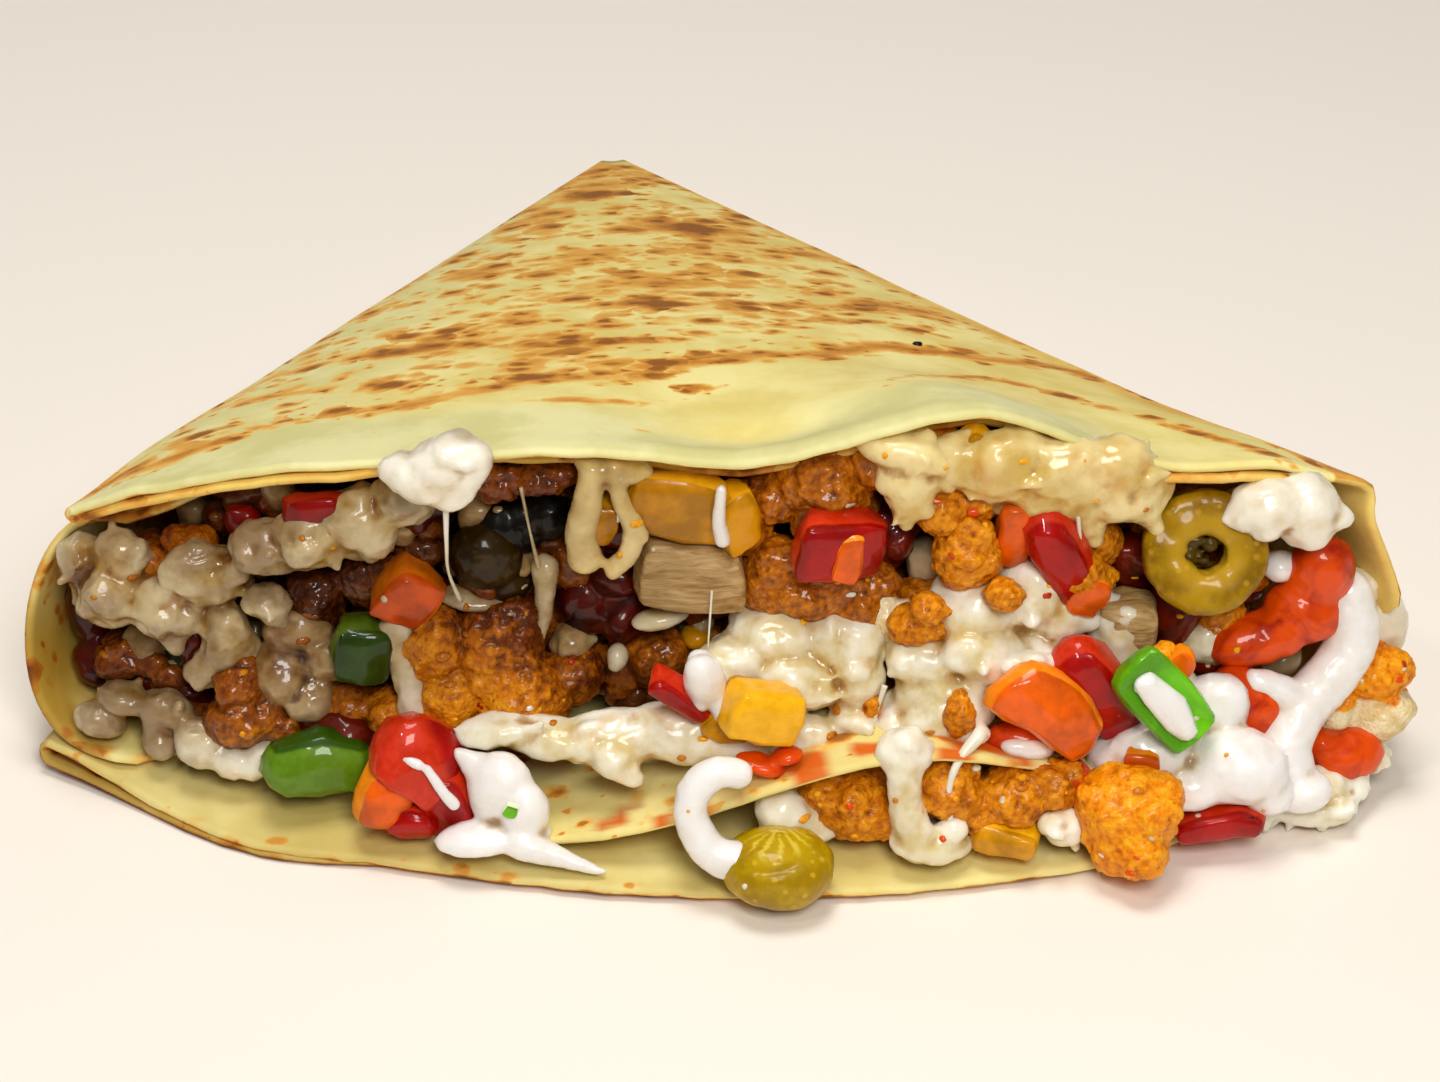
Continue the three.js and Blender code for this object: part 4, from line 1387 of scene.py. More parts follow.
        clay = Clay()
        bmesh.ops.create_grid(clay.bm, x_segments=last, y_segments=rings, size=1.0)
        bmesh.ops.solidify(clay.bm, geom=clay.bm.faces[:], thickness=0.3)
        heights = sorted({round(v.co.z, 4) for v in clay.bm.verts})
        walls = [e for e in clay.bm.edges if abs(e.verts[0].co.z - e.verts[1].co.z) > 0.1]
        bmesh.ops.subdivide_edges(clay.bm, edges=walls, cuts=2, use_grid_fill=True)
        marks = {"brown": self.browning, "warm": self.warmth, "stain": self.stain, "soaked": self.soaked}
        layers = {name: clay.bm.verts.layers.float.new(name) for name in marks}
        flat_map = clay.bm.loops.layers.uv.new("flat")
        flat: dict[bmesh.types.BMVert, tuple[float, float]] = {}
        for v in clay.bm.verts:
            i, j = round((v.co.x + 1) / 2 * last), round((v.co.y + 1) / 2 * rings)
            through = lerp(-1, 1, (v.co.z - heights[0]) / (heights[-1] - heights[0]))
            along = middle[min(i + 1, last)][j] - middle[max(i - 1, 0)][j]
            outwards = middle[i][min(j + 1, rings)] - middle[i][max(j - 1, 0)]
            half = self.thickness / 2 * self.squeezed(shares[j])
            v.co = middle[i][j] + along.cross(outwards).normalized() * through * half
            if abs(through) < 0.99 and j == rings:
                v.co += outwards.normalized() * half * math.sqrt(1 - through * through)
            for name, mark in marks.items():
                v[layers[name]] = mark(lines[i], shares[j], 1 if through > 0 else -1)
            radius = (self.tip_radius + shares[j] * length) * MM
            flat[v] = (radius * math.cos(bend[i]), radius * math.sin(bend[i]))
        for face in clay.bm.faces:
            for loop in face.loops:
                loop[flat_map].uv = flat[loop.vert]
        bmesh.ops.recalc_face_normals(clay.bm, faces=clay.bm.faces[:])
        kitchen.serve("folded_crepe", clay, Paint.CREPE, ["crepe"])


# ------------ soft masses
Lump = tuple[Triple, Triple]  # middle and size
Run = tuple[tuple[Triple, ...], float, float]  # path, first and last radius


@dataclass(frozen=True)
class Mass:
    """A soft piece of the filling: lumps and runs that have grown into one."""

    name: str
    lumps: tuple[Lump, ...] = ()
    runs: tuple[Run, ...] = ()
    nodes: tuple[str, ...] = ()
    paint: Enum = Paint.CHEESE
    knobs: int = 0  # how many small lumps sit on each lump
    rough: float = 0.5
    voxel: float = 0.55
    smooth: int = 8
    shreds: int = 0  # how many half-melted shreds lie on each lump

    def clay(self) -> Clay:
        """Models the mass.

        Returns:
            Its clay, one closed skin.
        """
        chance = random.Random(self.name)
        made = Clay()
        for centre, size in self.lumps:
            made.ball(centre, size, tuple(chance.uniform(-18, 18) for _ in range(3)))
            for _ in range(self.knobs):
                way = drawn(chance, 1).normalized()
                place = tuple(c + 0.38 * s * w for c, s, w in zip(centre, size, way))
                width = min(size) * chance.uniform(0.3, 0.65)
                knob = (width * chance.uniform(0.8, 1.5), width, width * chance.uniform(0.7, 1.2))
                made.ball(place, knob, divisions=2)
            for _ in range(self.shreds):
                ways = [drawn(chance, 1).normalized()]
                ways.append((ways[0] + drawn(chance, 0.7)).normalized())
                start, end = (Vector(centre) + 0.5 * Vector([s * d for s, d in zip(size, w)]) for w in ways)
                droop = Vector((0, 0, chance.uniform(-0.8, 0.4)))
                thick = chance.uniform(0.5, 0.95)
                path = (start, (start + end) / 2 + (ways[0] + ways[1]) * 0.6 + droop, end)
                made.cord(path, (0.6 * thick, thick, 0.6 * thick), 6, 6)
        for path, first, last in self.runs:
            made.beads(path, first, last)
        made.melt(self.voxel, self.smooth)
        shift = Vector((chance.uniform(0, 50), chance.uniform(0, 50), 3.3))

        def uneven(p: Vector) -> float:
            """Returns how far the skin stands out or in at a place."""
            return self.rough * (fractal((p + shift) / 5.4, 2.2) + 0.35 - 0.8 * abs(noise.noise(p / 3.1)))

        made.swell(uneven)
        # the crease mark carries the painted shade and highlight of cheese and cream
        if isinstance(FINISHES[self.paint], MeltFinish):
            made.mark_creases()
        return made


# ------------ chicken
@dataclass(frozen=True)
class Nugget:
    """A lump of crumbed chicken, made of a few lumps that were fried together."""

    node: str
    lumps: tuple[Lump, ...]
    tone: Tone = Tone.GOLD
    crumb: float = 1.0  # how coarse its crumbs are
    bare_from: Triple = (0, 0, 0)  # the side where the coat is off, as a direction
    bare: float = 0.0  # how far over the lump it is off
    shaded_from: Triple = (0, 0, 0)  # the side that is darker: painted shade


@dataclass
class CrumbedChicken:
    """The fried chicken lumps, each with a coat of coarse crumbs."""

    crumb_size: float = 1.15
    crumb_height: float = 0.62
    voxel: float = 0.42
    nuggets: tuple[Nugget, ...] = (
        Nugget("chicken_gold_low",
            (((61, -7, 11.6), (15.5, 14, 12)), ((61, -8, 7.4), (13, 14, 12.4)),
             ((65.6, -7, 13.6), (7, 9, 7))), Tone.BRIGHT, 0.9),
        Nugget("chicken_low_left",
            (((20.5, -4, 10), (15, 11, 11)), ((16, -3, 12), (9, 9, 7)), ((24.5, -4.5, 8.6), (9, 9, 7))),
            Tone.GOLD),
        Nugget("chicken_low_right",
            (((34, -4, 13), (12, 11, 9)), ((43.5, -4, 11.8), (12, 11, 8)), ((50, -3, 12.5), (9, 9, 8)),
             ((38.5, -5, 9.6), (9, 8, 6)))),
        Nugget("chicken_right",
            (((99.5, 17, 20), (13, 10, 8)), ((100.6, 16, 12.6), (12, 11, 9)), ((94.5, 15, 13), (6, 9, 8))),
            Tone.BRIGHT, 0.8, (0.25, -0.4, -1), 0.5),
        Nugget("chicken_centre",
            (((8.5, 14, 38.5), (12.5, 11, 14)), ((18, 14, 38.5), (14.5, 12, 12)),
             ((13, 13, 37), (18.5, 12, 9))), Tone.BROWN, 0.6),
        Nugget("chicken_centre_top",
            (((15.5, 16, 55), (14, 10, 12)), ((8, 18, 51), (10, 10, 8)), ((19, 19, 47), (14, 9, 11))),
            Tone.BROWN),
        Nugget("chicken_big",
            (((-43, 13, 27.5), (11.5, 12, 14.5)), ((-33.5, 13, 27), (15, 12, 16.5)),
             ((-31, 10, 20.5), (14.5, 12, 12.5)), ((-41, 10, 19.5), (11, 11, 11.5)),
             ((-22.5, 14, 21), (11, 9, 10.5))), Tone.GOLD, 1.0, shaded_from=(0.6, 0.3, 0.9)),
        Nugget("chicken_gold_upper", (((33.5, 14, 52), (10, 9, 10)), ((37.4, 14, 52.6), (7, 8, 8))),
            Tone.GOLD),
        Nugget("chicken_gold_right", (((53.5, 11, 41.5), (8, 8, 8)), ((36.5, 9.6, 46), (10.5, 8, 11.5))),
            Tone.GOLD, 0.8),
        Nugget("chicken_small", (((25.4, 11, 33.4), (7, 8, 10.5)), ((30.6, 12.5, 35.6), (10.5, 9, 6.5))),
            Tone.BROWN, 0.8, (-1, -0.4, -0.2), 0.45),
        Nugget("chicken_left_low",
            (((-72, 12, 15), (14, 10, 9.5)), ((-72.5, 13, 20.5), (8, 9, 7.5)),
             ((-66.8, 12, 13.4), (7, 9, 6))), Tone.BROWN),
        Nugget("chicken_left_brown", (((-91, 24, 17.5), (12, 9, 7)), ((-84.5, 22, 15.5), (7, 8, 6))),
            Tone.BROWN, 0.8),
        Nugget("meat_dark",
            (((-62, 19, 31), (9.5, 9, 12.5)), ((-51, 20, 35), (14.5, 10, 10.5)),
             ((-45, 19, 41), (8, 8, 5))), Tone.DARK, 0.8),
        Nugget("chicken_top_left", (((-34.5, 16.5, 55), (12, 7, 5.5)), ((-26, 16.5, 55.6), (11, 7, 4.5))),
            Tone.BROWN),
    )
    extras: tuple[Nugget, ...] = (
        Nugget("chicken_under_dice", (((-57, 14, 16), (9, 9, 9)), ((-50.5, 11, 16.4), (8, 8, 7))),
            Tone.GOLD, 0.8),
        Nugget("chicken_under_cheese", (((-87, 23.5, 35), (10.5, 8, 5)), ((-80, 22, 39.5), (8, 8, 6))),
            Tone.GOLD, 0.8),
        Nugget("chicken_by_tomato", (((-22.5, 20, 38), (10, 8, 9)), ((-9.5, 17, 22), (10.5, 9, 12))),
            Tone.BROWN, 0.8),
        Nugget("chicken_under_lip", (((26.6, 15.6, 61), (9, 8, 4.6)), ((32.6, 16, 62), (8, 8, 4))),
            Tone.BRIGHT, 0.7),
        Nugget("chicken_by_ring", (((75, 17, 30), (9, 8, 7)), ((56.5, 17, 44), (8, 7, 10))),
            Tone.GOLD, 0.7),
        Nugget("crumbs_on_cream", (((66.3, 4.2, 31.4), (3.2, 4, 4)), ((62.5, 0, 17), (3.5, 4, 3.5))),
            Tone.BRIGHT, 0.6),
        Nugget("chicken_in_cheese",
            (((35.6, -0.6, 24.2), (5, 5, 7)), ((22.6, 3, 23.2), (3.6, 4, 4)), ((31, 4, 40), (5.5, 6, 4.5)),
             ((42, 5, 42), (6, 6, 4.5)), ((29, 6.5, 36), (8, 7, 5.5))), Tone.GOLD, 0.7),
    )

    def build(self, kitchen: Kitchen) -> None:
        """Builds every lump and serves it.

        Args:
            kitchen: Where the pieces are dressed and served.
        """
        for nugget in self.nuggets:
            kitchen.serve(f"{nugget.node}_crumbed", self.lump(nugget), nugget.tone, [nugget.node])
        for nugget in self.extras:
            kitchen.serve(nugget.node, self.lump(nugget), nugget.tone)

    def lump(self, nugget: Nugget) -> Clay:
        """Models one piece of chicken.

        Args:
            nugget: Its place, size and coat.

        Returns:
            Its clay, with the crumbs' relief and the bare side marked.
        """
        clay = Mass(nugget.node, nugget.lumps, knobs=5, rough=0.7, voxel=self.voxel, smooth=3).clay()
        crumb_coat(clay, nugget, self.crumb_size * nugget.crumb, self.crumb_height * nugget.crumb)
        return clay


def crumb_coat(clay: Clay, nugget: Nugget, size: float, height: float) -> None:
    """Raises a coat of crumbs on clay, and marks its "relief" and where it is "bare".

    Args:
        clay: The lump without its coat.
        nugget: Which side is bare, and which is darkened by painted shade.
        size: How wide a crumb is.
        height: How high it stands.
    """
    shift = Vector((len(nugget.node) * 7.3, nugget.lumps[0][0][0], 11.7))
    toward = Vector(nugget.bare_from)
    darker = Vector(nugget.shaded_from)
    centre = sum((Vector(c) for c, _ in nugget.lumps), Vector()) / len(nugget.lumps)

    def crumbs(p: Vector) -> float:
        """Returns how high the crumbs stand at a place, from 0 to about 1.

        Args:
            p: The place, in millimetres.

        Returns:
            The height.
        """
        moved = p + shift + 0.55 * size * noise.noise_vector(p / (0.9 * size))
        near = noise.voronoi(moved / size)[0][0]
        tiny = noise.voronoi(moved / (0.45 * size))[0][0]
        patch = 0.5 + 0.5 * noise.noise((p + shift) / 3.4)
        rugged = 0.4 * fractal((p + shift) / (1.6 * size), 2.1)
        return (1 - clamp(near * 1.2)) * (0.35 + 0.5 * patch) + 0.25 * (1 - tiny) + rugged + 0.02

    def bare(v: bmesh.types.BMVert) -> float:
        """Returns 1 where the coat is off."""
        if not nugget.bare:
            return 0.0
        side = (v.co - centre).normalized().dot(toward.normalized())
        return clamp(0.5 + 2.2 * (side - (1 - 2 * nugget.bare)) + 0.9 * noise.noise((v.co + shift) / 3.0))

    # painted shade: the relief mark, and with it the coat's colour, is lowered on the shaded side, where the
    # crumbs also stand a little lower
    clay.mark("relief", lambda v: crumbs(v.co) - 0.5 * clamp(0.1 * darker.dot(v.co - centre), -0.3, 1.0))
    clay.mark("bare", bare)
    relief, off = (clay.bm.verts.layers.float[name] for name in ("relief", "bare"))
    clay.bm.normal_update()
    for v in clay.bm.verts:
        v.co += v.normal * height * (v[relief] - 0.35) * (1 - 0.6 * v[off])


# ------------ cheese and cream
CHEESES: tuple[Mass, ...] = (
    Mass("cheese_left_melted",
        (((-96.5, 24, 34), (8.5, 8, 11)), ((-92, 20, 31.5), (12, 9, 10.5)), ((-84, 18, 30.4), (13, 9, 10)),
         ((-90.5, 22, 37.5), (9.5, 8, 8)), ((-77.5, 18, 37), (14, 9, 9.5)),
         ((-67.5, 17, 42.5), (13, 9, 8.5)), ((-61.5, 16, 44.5), (12, 9, 11)),
         ((-53.5, 16, 47.5), (13, 9, 12)), ((-46.5, 15, 52.5), (9.5, 8, 9.5)),
         ((-74.6, 16, 26.5), (8, 8, 12)), ((-68, 15, 34), (7.5, 7, 5))),
        ((((-74.5, 15, 28), (-76, 14.5, 22), (-76.5, 14, 17.5)), 3.2, 0.9),
         (((-76, 15.5, 24), (-79.5, 14, 20.6)), 2.4, 2.4), (((-84, 17, 29), (-83, 16, 25.4)), 3.2, 1.4),
         (((-67, 15, 35), (-66, 14, 30.2)), 2.0, 0.6)),
        ("cheese_left",), knobs=2, rough=1.0, smooth=20, shreds=3),
    Mass("cheese_low_left_melted",
        (((-95.5, 17, 10.4), (8.5, 7, 5.6)), ((-91.5, 18, 13.5), (9.5, 8, 4.5)), ((-85, 15, 14), (9, 7, 5)),
         ((-78.5, 11, 10.6), (10, 8, 7.5)), ((-74, 9, 8.6), (10, 8, 6)), ((-69.6, 9, 9.4), (8, 7, 5.5))),
        ((((-86, 14.5, 15), (-86.2, 13.6, 10.6), (-86, 13, 8.4)), 2.3, 2.7),),
        ("cheese_low_left", "cheese_drip_left"), knobs=2, rough=0.7, smooth=18, shreds=2),
    Mass("cheese_band_melted", (((-50.5, 12, 29.5), (6, 7, 6)),),
        ((((-48.5, 12, 31.5), (-47.5, 11, 26), (-46.5, 8, 20), (-44.5, 5.4, 16), (-42.6, 1.6, 12.4)), 2.9,
         1.9),), ("cheese_band",), knobs=3, rough=0.6, smooth=8, shreds=3),
    Mass("cheese_drips_middle_melted", (((-15.5, 12, 60), (12, 6, 4)),),
        ((((-18.8, 10.5, 60), (-19.5, 10, 55), (-20.5, 10, 49), (-20, 10, 45.4)), 2.0, 2.8),
         (((-20.5, 10, 50), (-18.6, 9.6, 44.6)), 2.2, 0.8), (((-15.6, 10.5, 60.5), (-14.6, 10, 56),
         (-12.8, 9.4, 51), (-13.6, 9, 46.6), (-15.6, 9, 44)), 1.5, 1.7),
         (((-12.8, 9.4, 52), (-11.4, 9.2, 49.5)), 1.6, 1.0)),
        ("cheese_drips_middle",), knobs=2, rough=0.3, voxel=0.45, paint=Paint.CHEESE_GOLD),
    Mass("cheese_sheet_melted",
        (((-34, 2, 19.6), (12, 7, 3.8)), ((-26, 2, 18.2), (17, 8, 6.4)), ((-16, 2, 18), (19, 9, 8.4)),
         ((-6, 2, 18.6), (17, 9, 9)), ((2.5, 2, 18), (14, 8, 7))),
        ((((-40, 1, 20.4), (-31, 0, 20)), 0.5, 1.8), (((-29, 0, 20.5), (-26.6, -0.6, 22.6)), 1.5, 0.8),
         (((-16, -2, 16.8), (-12.6, -3, 14)), 3.2, 1.6)),
        ("cheese_sheet",), knobs=0, rough=0.45, smooth=16, shreds=1),
    Mass("cheese_centre_melted",
        (((8, 9, 32), (13, 10, 8.5)), ((18, 9, 31), (13.5, 11, 10.5)), ((1.5, 6, 28.4), (12, 9, 9)),
         ((12.5, 5.5, 26.4), (15, 10, 9)), ((20.6, 6, 26), (9, 9, 9)), ((13, 2.4, 16.4), (13.5, 8, 11)),
         ((20.5, 3.6, 20), (8, 8, 7.5)), ((8, 3, 19.4), (9, 7, 6))),
        ((((21.5, 2, 19), (22.3, 0.4, 14.2)), 2.2, 0.8), (((14, 0, 13), (11.6, -1.6, 10.4)), 3.0, 1.2)),
        ("cheese_centre",), knobs=2, rough=0.55, smooth=12, shreds=4),
    Mass("cheese_right_melted",
        (((30.5, 7, 29.5), (12, 11, 10)), ((33.5, 4, 23), (15.5, 11, 12)), ((37.5, 10, 36), (14, 12, 13)),
         ((45.5, 11, 38), (12, 10, 13)), ((51, 10, 34), (8, 8, 7)), ((47.5, 7, 28), (13, 9, 9)),
         ((27.4, 4, 19.6), (9, 8, 8)), ((40, 5, 31), (12, 9, 9))),
        ((((26.5, 2, 20), (26, 0, 16)), 3.0, 1.6), (((37.5, 0, 20), (39, -2, 21.5)), 2.4, 1.4)),
        ("cheese_right",), knobs=2, rough=0.55, smooth=12, shreds=4),
    Mass("cheese_leg_melted", (((31.6, -9, 6.6), (13.5, 9, 4.6)), ((27.4, -6, 21.5), (9, 7, 7))),
        ((((27.3, -7, 23.4), (27.4, -8.4, 17.5), (27.8, -9.4, 12), (29.6, -9.6, 7)), 2.5, 3.2),
         (((35, -9, 9), (33, -9, 6.4)), 2.2, 2.6)),
        ("cheese_leg",), knobs=1, rough=0.5, smooth=8, shreds=1),
    Mass("cheese_drip_big_melted",
        (((26.5, 11, 63.4), (14.5, 8, 6.5)), ((28, 10.4, 59), (11, 7.5, 8.5)),
         ((27.6, 10, 55), (6.5, 5.5, 6))),
        ((((27.6, 10, 57), (27.4, 9.4, 51.4)), 3.0, 1.1), (((32, 10, 62), (33.5, 10, 57.6)), 2.4, 1.2)),
        ("cheese_drip_big",), knobs=2, rough=0.6, smooth=12, shreds=3, paint=Paint.CHEESE_GOLD),
    Mass("cheese_top_right_melted",
        (((36, 12, 61), (14, 8, 9)), ((43, 12, 60), (16, 9, 13)), ((51, 12, 58), (17, 9, 14.5)),
         ((60, 13.5, 56), (15, 9, 12)), ((47, 13, 54), (12, 8, 7)), ((56, 13, 60), (14, 8, 7))),
        ((((62, 13, 53), (65, 12.6, 48.4)), 2.8, 1.5), (((54, 12, 53), (55.5, 11.6, 47.6)), 3.0, 1.6),
         (((40, 12, 57), (41, 11.6, 53)), 2.6, 1.6)),
        ("cheese_top_right",), knobs=1, rough=0.55, smooth=20, shreds=2, paint=Paint.CHEESE_GOLD),
    Mass("cheese_low_bits",
        (((52, -7, 8), (7, 6, 6)), ((13, -6, 8.6), (15, 8, 6)), ((9.4, -7, 11), (9, 7, 6.5)),
         ((49.6, -8, 9.6), (5, 5, 4))),
        (), ("cheese_low_bit", "cheese_low_middle"), knobs=2, rough=0.5, smooth=8, shreds=2),
    Mass("cheese_between_left",
        (((-67, 14, 21), (9.5, 8, 11)), ((-64, 16.5, 28), (11, 8, 8)), ((-58.5, 15, 23.6), (10, 8, 7)),
         ((-62, 13, 17.5), (8, 8, 7))), (), (), Paint.CHEESE_SHADE, 7, 0.6),
    Mass("cheese_between_right",
        (((60, 12, 31), (10, 8, 10.5)), ((54.5, 15, 36), (8, 7, 6)), ((74.5, 15.6, 27), (11, 8, 9)),
         ((67, 9, 22.5), (10, 9, 9)), ((46, 3, 30), (10, 6, 6))), (), (), Paint.CHEESE, 7, 0.5),
    Mass("cheese_under_olive", (((-37, 15, 34.4), (12, 7, 3)),),
        ((((-26.2, 15, 40), (-26.4, 14, 34), (-27.4, 13, 28)), 2.2, 0.8),), (), Paint.CHEESE, 3, 0.3, 0.45),
    Mass("crust_low_right",
        (((77, 5, 3.4), (8, 6, 4)), ((83, 4, 3.2), (9, 6, 4)), ((89, 3.4, 3.4), (9, 6, 4.4)),
         ((94, 4, 3.6), (7, 7, 4.6)), ((97, 8.6, 5), (6, 8, 5)), ((99.6, 13, 7), (6, 7, 6)),
         ((92, 6, 6), (9, 7, 5))), (), (), Paint.CHEESE, 4, 0.6, 0.45, 3, 6),
    Mass("cheese_bit_middle", (((-15.5, 11, 26.5), (3.2, 4, 4)), ((-9, 12, 33), (9, 5, 3))),
        (), (), Paint.CHEESE, 3, 0.3, 0.4),
)

CREAMS: tuple[Mass, ...] = (
    Mass("cream_squiggle_white", (),
        ((((2.7, -10, 20.2), (-0.5, -10.6, 21), (-3.6, -11.6, 18.6), (-4.4, -12.4, 15), (-3.2, -13.6, 11.4),
         (-0.6, -14.6, 8.6), (2.4, -15.2, 8.2)), 2.3, 3.1),), ("cream_squiggle",), Paint.CREAM, 0, 0.3),
    Mass("cream_bottom_left_white",
        (((-33, -4, 13), (10.5, 8, 12)), ((-29.5, -5.6, 9.4), (8, 8, 12)),
         ((-35.6, -8, 6.6), (15, 8, 4.6))),
        ((((-30, -9, 6.6), (-24, -10.5, 5), (-17.5, -12, 3.4)), 2.8, 0.7), (((-39, -2, 18), (-35, -3, 15)),
         1.2, 3.0)), ("cream_bottom_left",), Paint.CREAM, 1, 0.3),
    Mass("mayonnaise_swirl_white", (((88, 1.4, 8.4), (10, 8, 6.5)),),
        ((((94.8, 18, 33), (95.9, 15, 27), (92.6, 12, 22), (88.3, 9, 18.3), (85.6, 5, 14.4),
         (86.6, 3, 9.6)), 4.3, 4.2), (((88.3, 9, 18.6), (84, 9, 22), (80.6, 9, 23.6)), 3.4, 2.0),
         (((95.4, 17.6, 30), (97.4, 19, 27)), 3.4, 2.6)), ("mayonnaise_swirl",), Paint.CREAM, 0, 0.25),
    Mass("cream_top_right_white",
        (((81.5, 14, 52), (12, 10, 9)), ((87, 15, 50.6), (10, 10, 13)), ((77.6, 13, 51), (6, 6, 5))),
        (), ("cream_top_right",), Paint.CREAM_WARM, 1, 0.5),
    Mass("cream_right_white",
        (((74.5, 7, 20), (11, 9, 13)), ((78, 0, 14), (15.5, 12, 12)), ((64.5, 1, 16), (13, 10, 11)),
         ((59.6, 2, 14.4), (9, 9, 8)), ((67, 4.6, 19), (11, 10, 8)), ((82.5, 0, 10), (9, 9, 7.5)),
         ((71, -1, 11.5), (13, 9, 8))), (), ("cream_right",), Paint.CREAM, 1, 0.4),
    Mass("cream_top_left_white",
        (((-37.5, 6, 66.6), (9, 10, 3.6)), ((-44, 6, 62), (12, 8, 6.5)), ((-40.5, 6, 64.6), (9.5, 9, 6))),
        ((((-35.5, 5.4, 65.6), (-37.4, 4.8, 60.8), (-39.8, 4.8, 58.6)), 3.0, 1.6),),
        ("cream_top_left",), Paint.CREAM_WARM, 2, 0.55),
    Mass("cream_behind_mayonnaise", (((101, 23, 24), (9.5, 8, 14)), ((96.5, 22, 31), (8, 7, 8))),
        (), (), Paint.CREAM_WARM, 3, 0.4),
    Mass("cream_dab_on_tomato", (((84.3, 17.4, 38.8), (5.5, 6, 4.5)),), (), (), Paint.CREAM, 1, 0.3, 0.4),
    Mass("cream_under_orange", (((46, -1, 18.6), (9, 5, 3.6)),), (), (), Paint.CREAM, 1, 0.3, 0.4),
    Mass("cream_on_pink", (((-2.2, 0.4, 29.5), (6.5, 6, 12)), ((0.4, 0, 25.4), (4, 5, 6))),
        (), (), Paint.CREAM, 2, 0.3, 0.45),
    Mass("cream_streaks", (),
        ((((0.2, 8.8, 58), (-0.2, 8.4, 53), (0.4, 8.4, 49.4)), 0.9, 1.3), (((-43.5, -5.4, 17.6),
         (-41.6, -6.2, 14.6), (-39.8, -6.2, 11.6)), 0.8, 1.1), (((-46.8, -5, 19.2), (-44.8, -5.6, 18.6)),
         0.6, 0.9)), (), Paint.CREAM, 0, 0.15, 0.35),
)

SAUCES: tuple[Mass, ...] = (
    Mass("tomato_right_sauce",
        (((90.4, 17, 38), (10.5, 9, 13)), ((88, 16, 31.4), (12.5, 10, 10.5)),
         ((80.5, 14, 27.6), (14.5, 9, 8)), ((84.8, 14.6, 29), (9, 9, 8))),
        (), ("tomato_right",), Paint.TOMATO, 0, 0.35),
    Mass("tomato_low_right_sauce", (((96, 10, 9), (12, 9, 8.6)), ((92.4, 9.6, 11), (6, 7, 5))),
        (), ("tomato_low_right",), Paint.TOMATO, 1, 0.3),
    Mass("tomato_dark_sauce",
        (((-20, 19, 31), (9.5, 9, 11)), ((-14, 19, 29.5), (9.5, 9, 13)), ((-16, 18, 37), (8, 8, 6))),
        (), ("tomato_dark",), Paint.DARK_SAUCE, 3, 0.5),
    Mass("ketchup_pocket",
        (((-98, 30, 22), (7, 8, 13)), ((-96, 27.6, 15), (10.5, 8, 9)), ((-89.6, 24.6, 13.6), (11, 8, 6.5)),
         ((-82.6, 21, 14), (11, 8, 4.5)), ((-80.6, 19, 24), (5, 6, 8))), (), (), Paint.DARK_SAUCE, 2, 0.4),
    Mass("sauce_low_left",
        (((-57, 9, 12.6), (11, 8, 9)), ((-50, 8, 11), (9, 8, 8)), ((-37.4, 1.5, 15), (5, 7, 8)),
         ((-62, 13, 14), (8, 8, 8))), (), (), Paint.DARK_SAUCE, 2, 0.4),
    Mass("sauce_by_olive",
        (((69, 17, 31), (9, 9, 18)), ((74.5, 17, 23.4), (9, 8, 8)), ((66.5, 18, 41), (7, 7, 10))),
        (), (), Paint.DARK_SAUCE, 2, 0.4),
    Mass("sauce_by_mayonnaise", (((80.5, 9, 16.4), (10, 9, 15)), ((78, 10, 22), (7, 8, 7))),
        (), (), Paint.TOMATO, 2, 0.4),
    Mass("sauce_under_orange", (((44.6, 0.4, 18.6), (12, 6, 6.5)), ((52, -2.4, 13.5), (8, 7, 7))),
        (), (), Paint.TOMATO, 1, 0.3),
    Mass("sauce_on_inner_sheet", (((6, -5.4, 18.6), (8, 5, 2.6)), ((10, -5, 20), (5, 5, 2))),
        (), (), Paint.TOMATO, 2, 0.3, 0.35),
    Mass("sauce_behind_centre",
        (((-14, 21, 44), (12, 8, 8)), ((-3, 19, 33), (13, 8, 9)), ((24, 18, 42), (10, 7, 9)),
         ((4, 20, 45), (9, 7, 8))), (), (), Paint.DARK_SAUCE, 3, 0.6),
)


@dataclass
class SoftFilling:
    """The melted cheese, the cream and the sauces, all wet and soft-edged."""

    masses: tuple[Mass, ...] = CHEESES + CREAMS + SAUCES

    def build(self, kitchen: Kitchen) -> None:
        """Builds every mass and serves it."""
        for mass in self.masses:
            kitchen.serve(mass.name, mass.clay(), mass.paint, mass.nodes)


# ------------ chopped medley
@dataclass(frozen=True)
class Scatter:
    """One kind of small bits in the chopped filling behind the large pieces."""

    name: str
    paint: Enum
    count: int
    small: float
    large: float
    near: float = 15.0  # how far back they lie
    far: float = 25.0


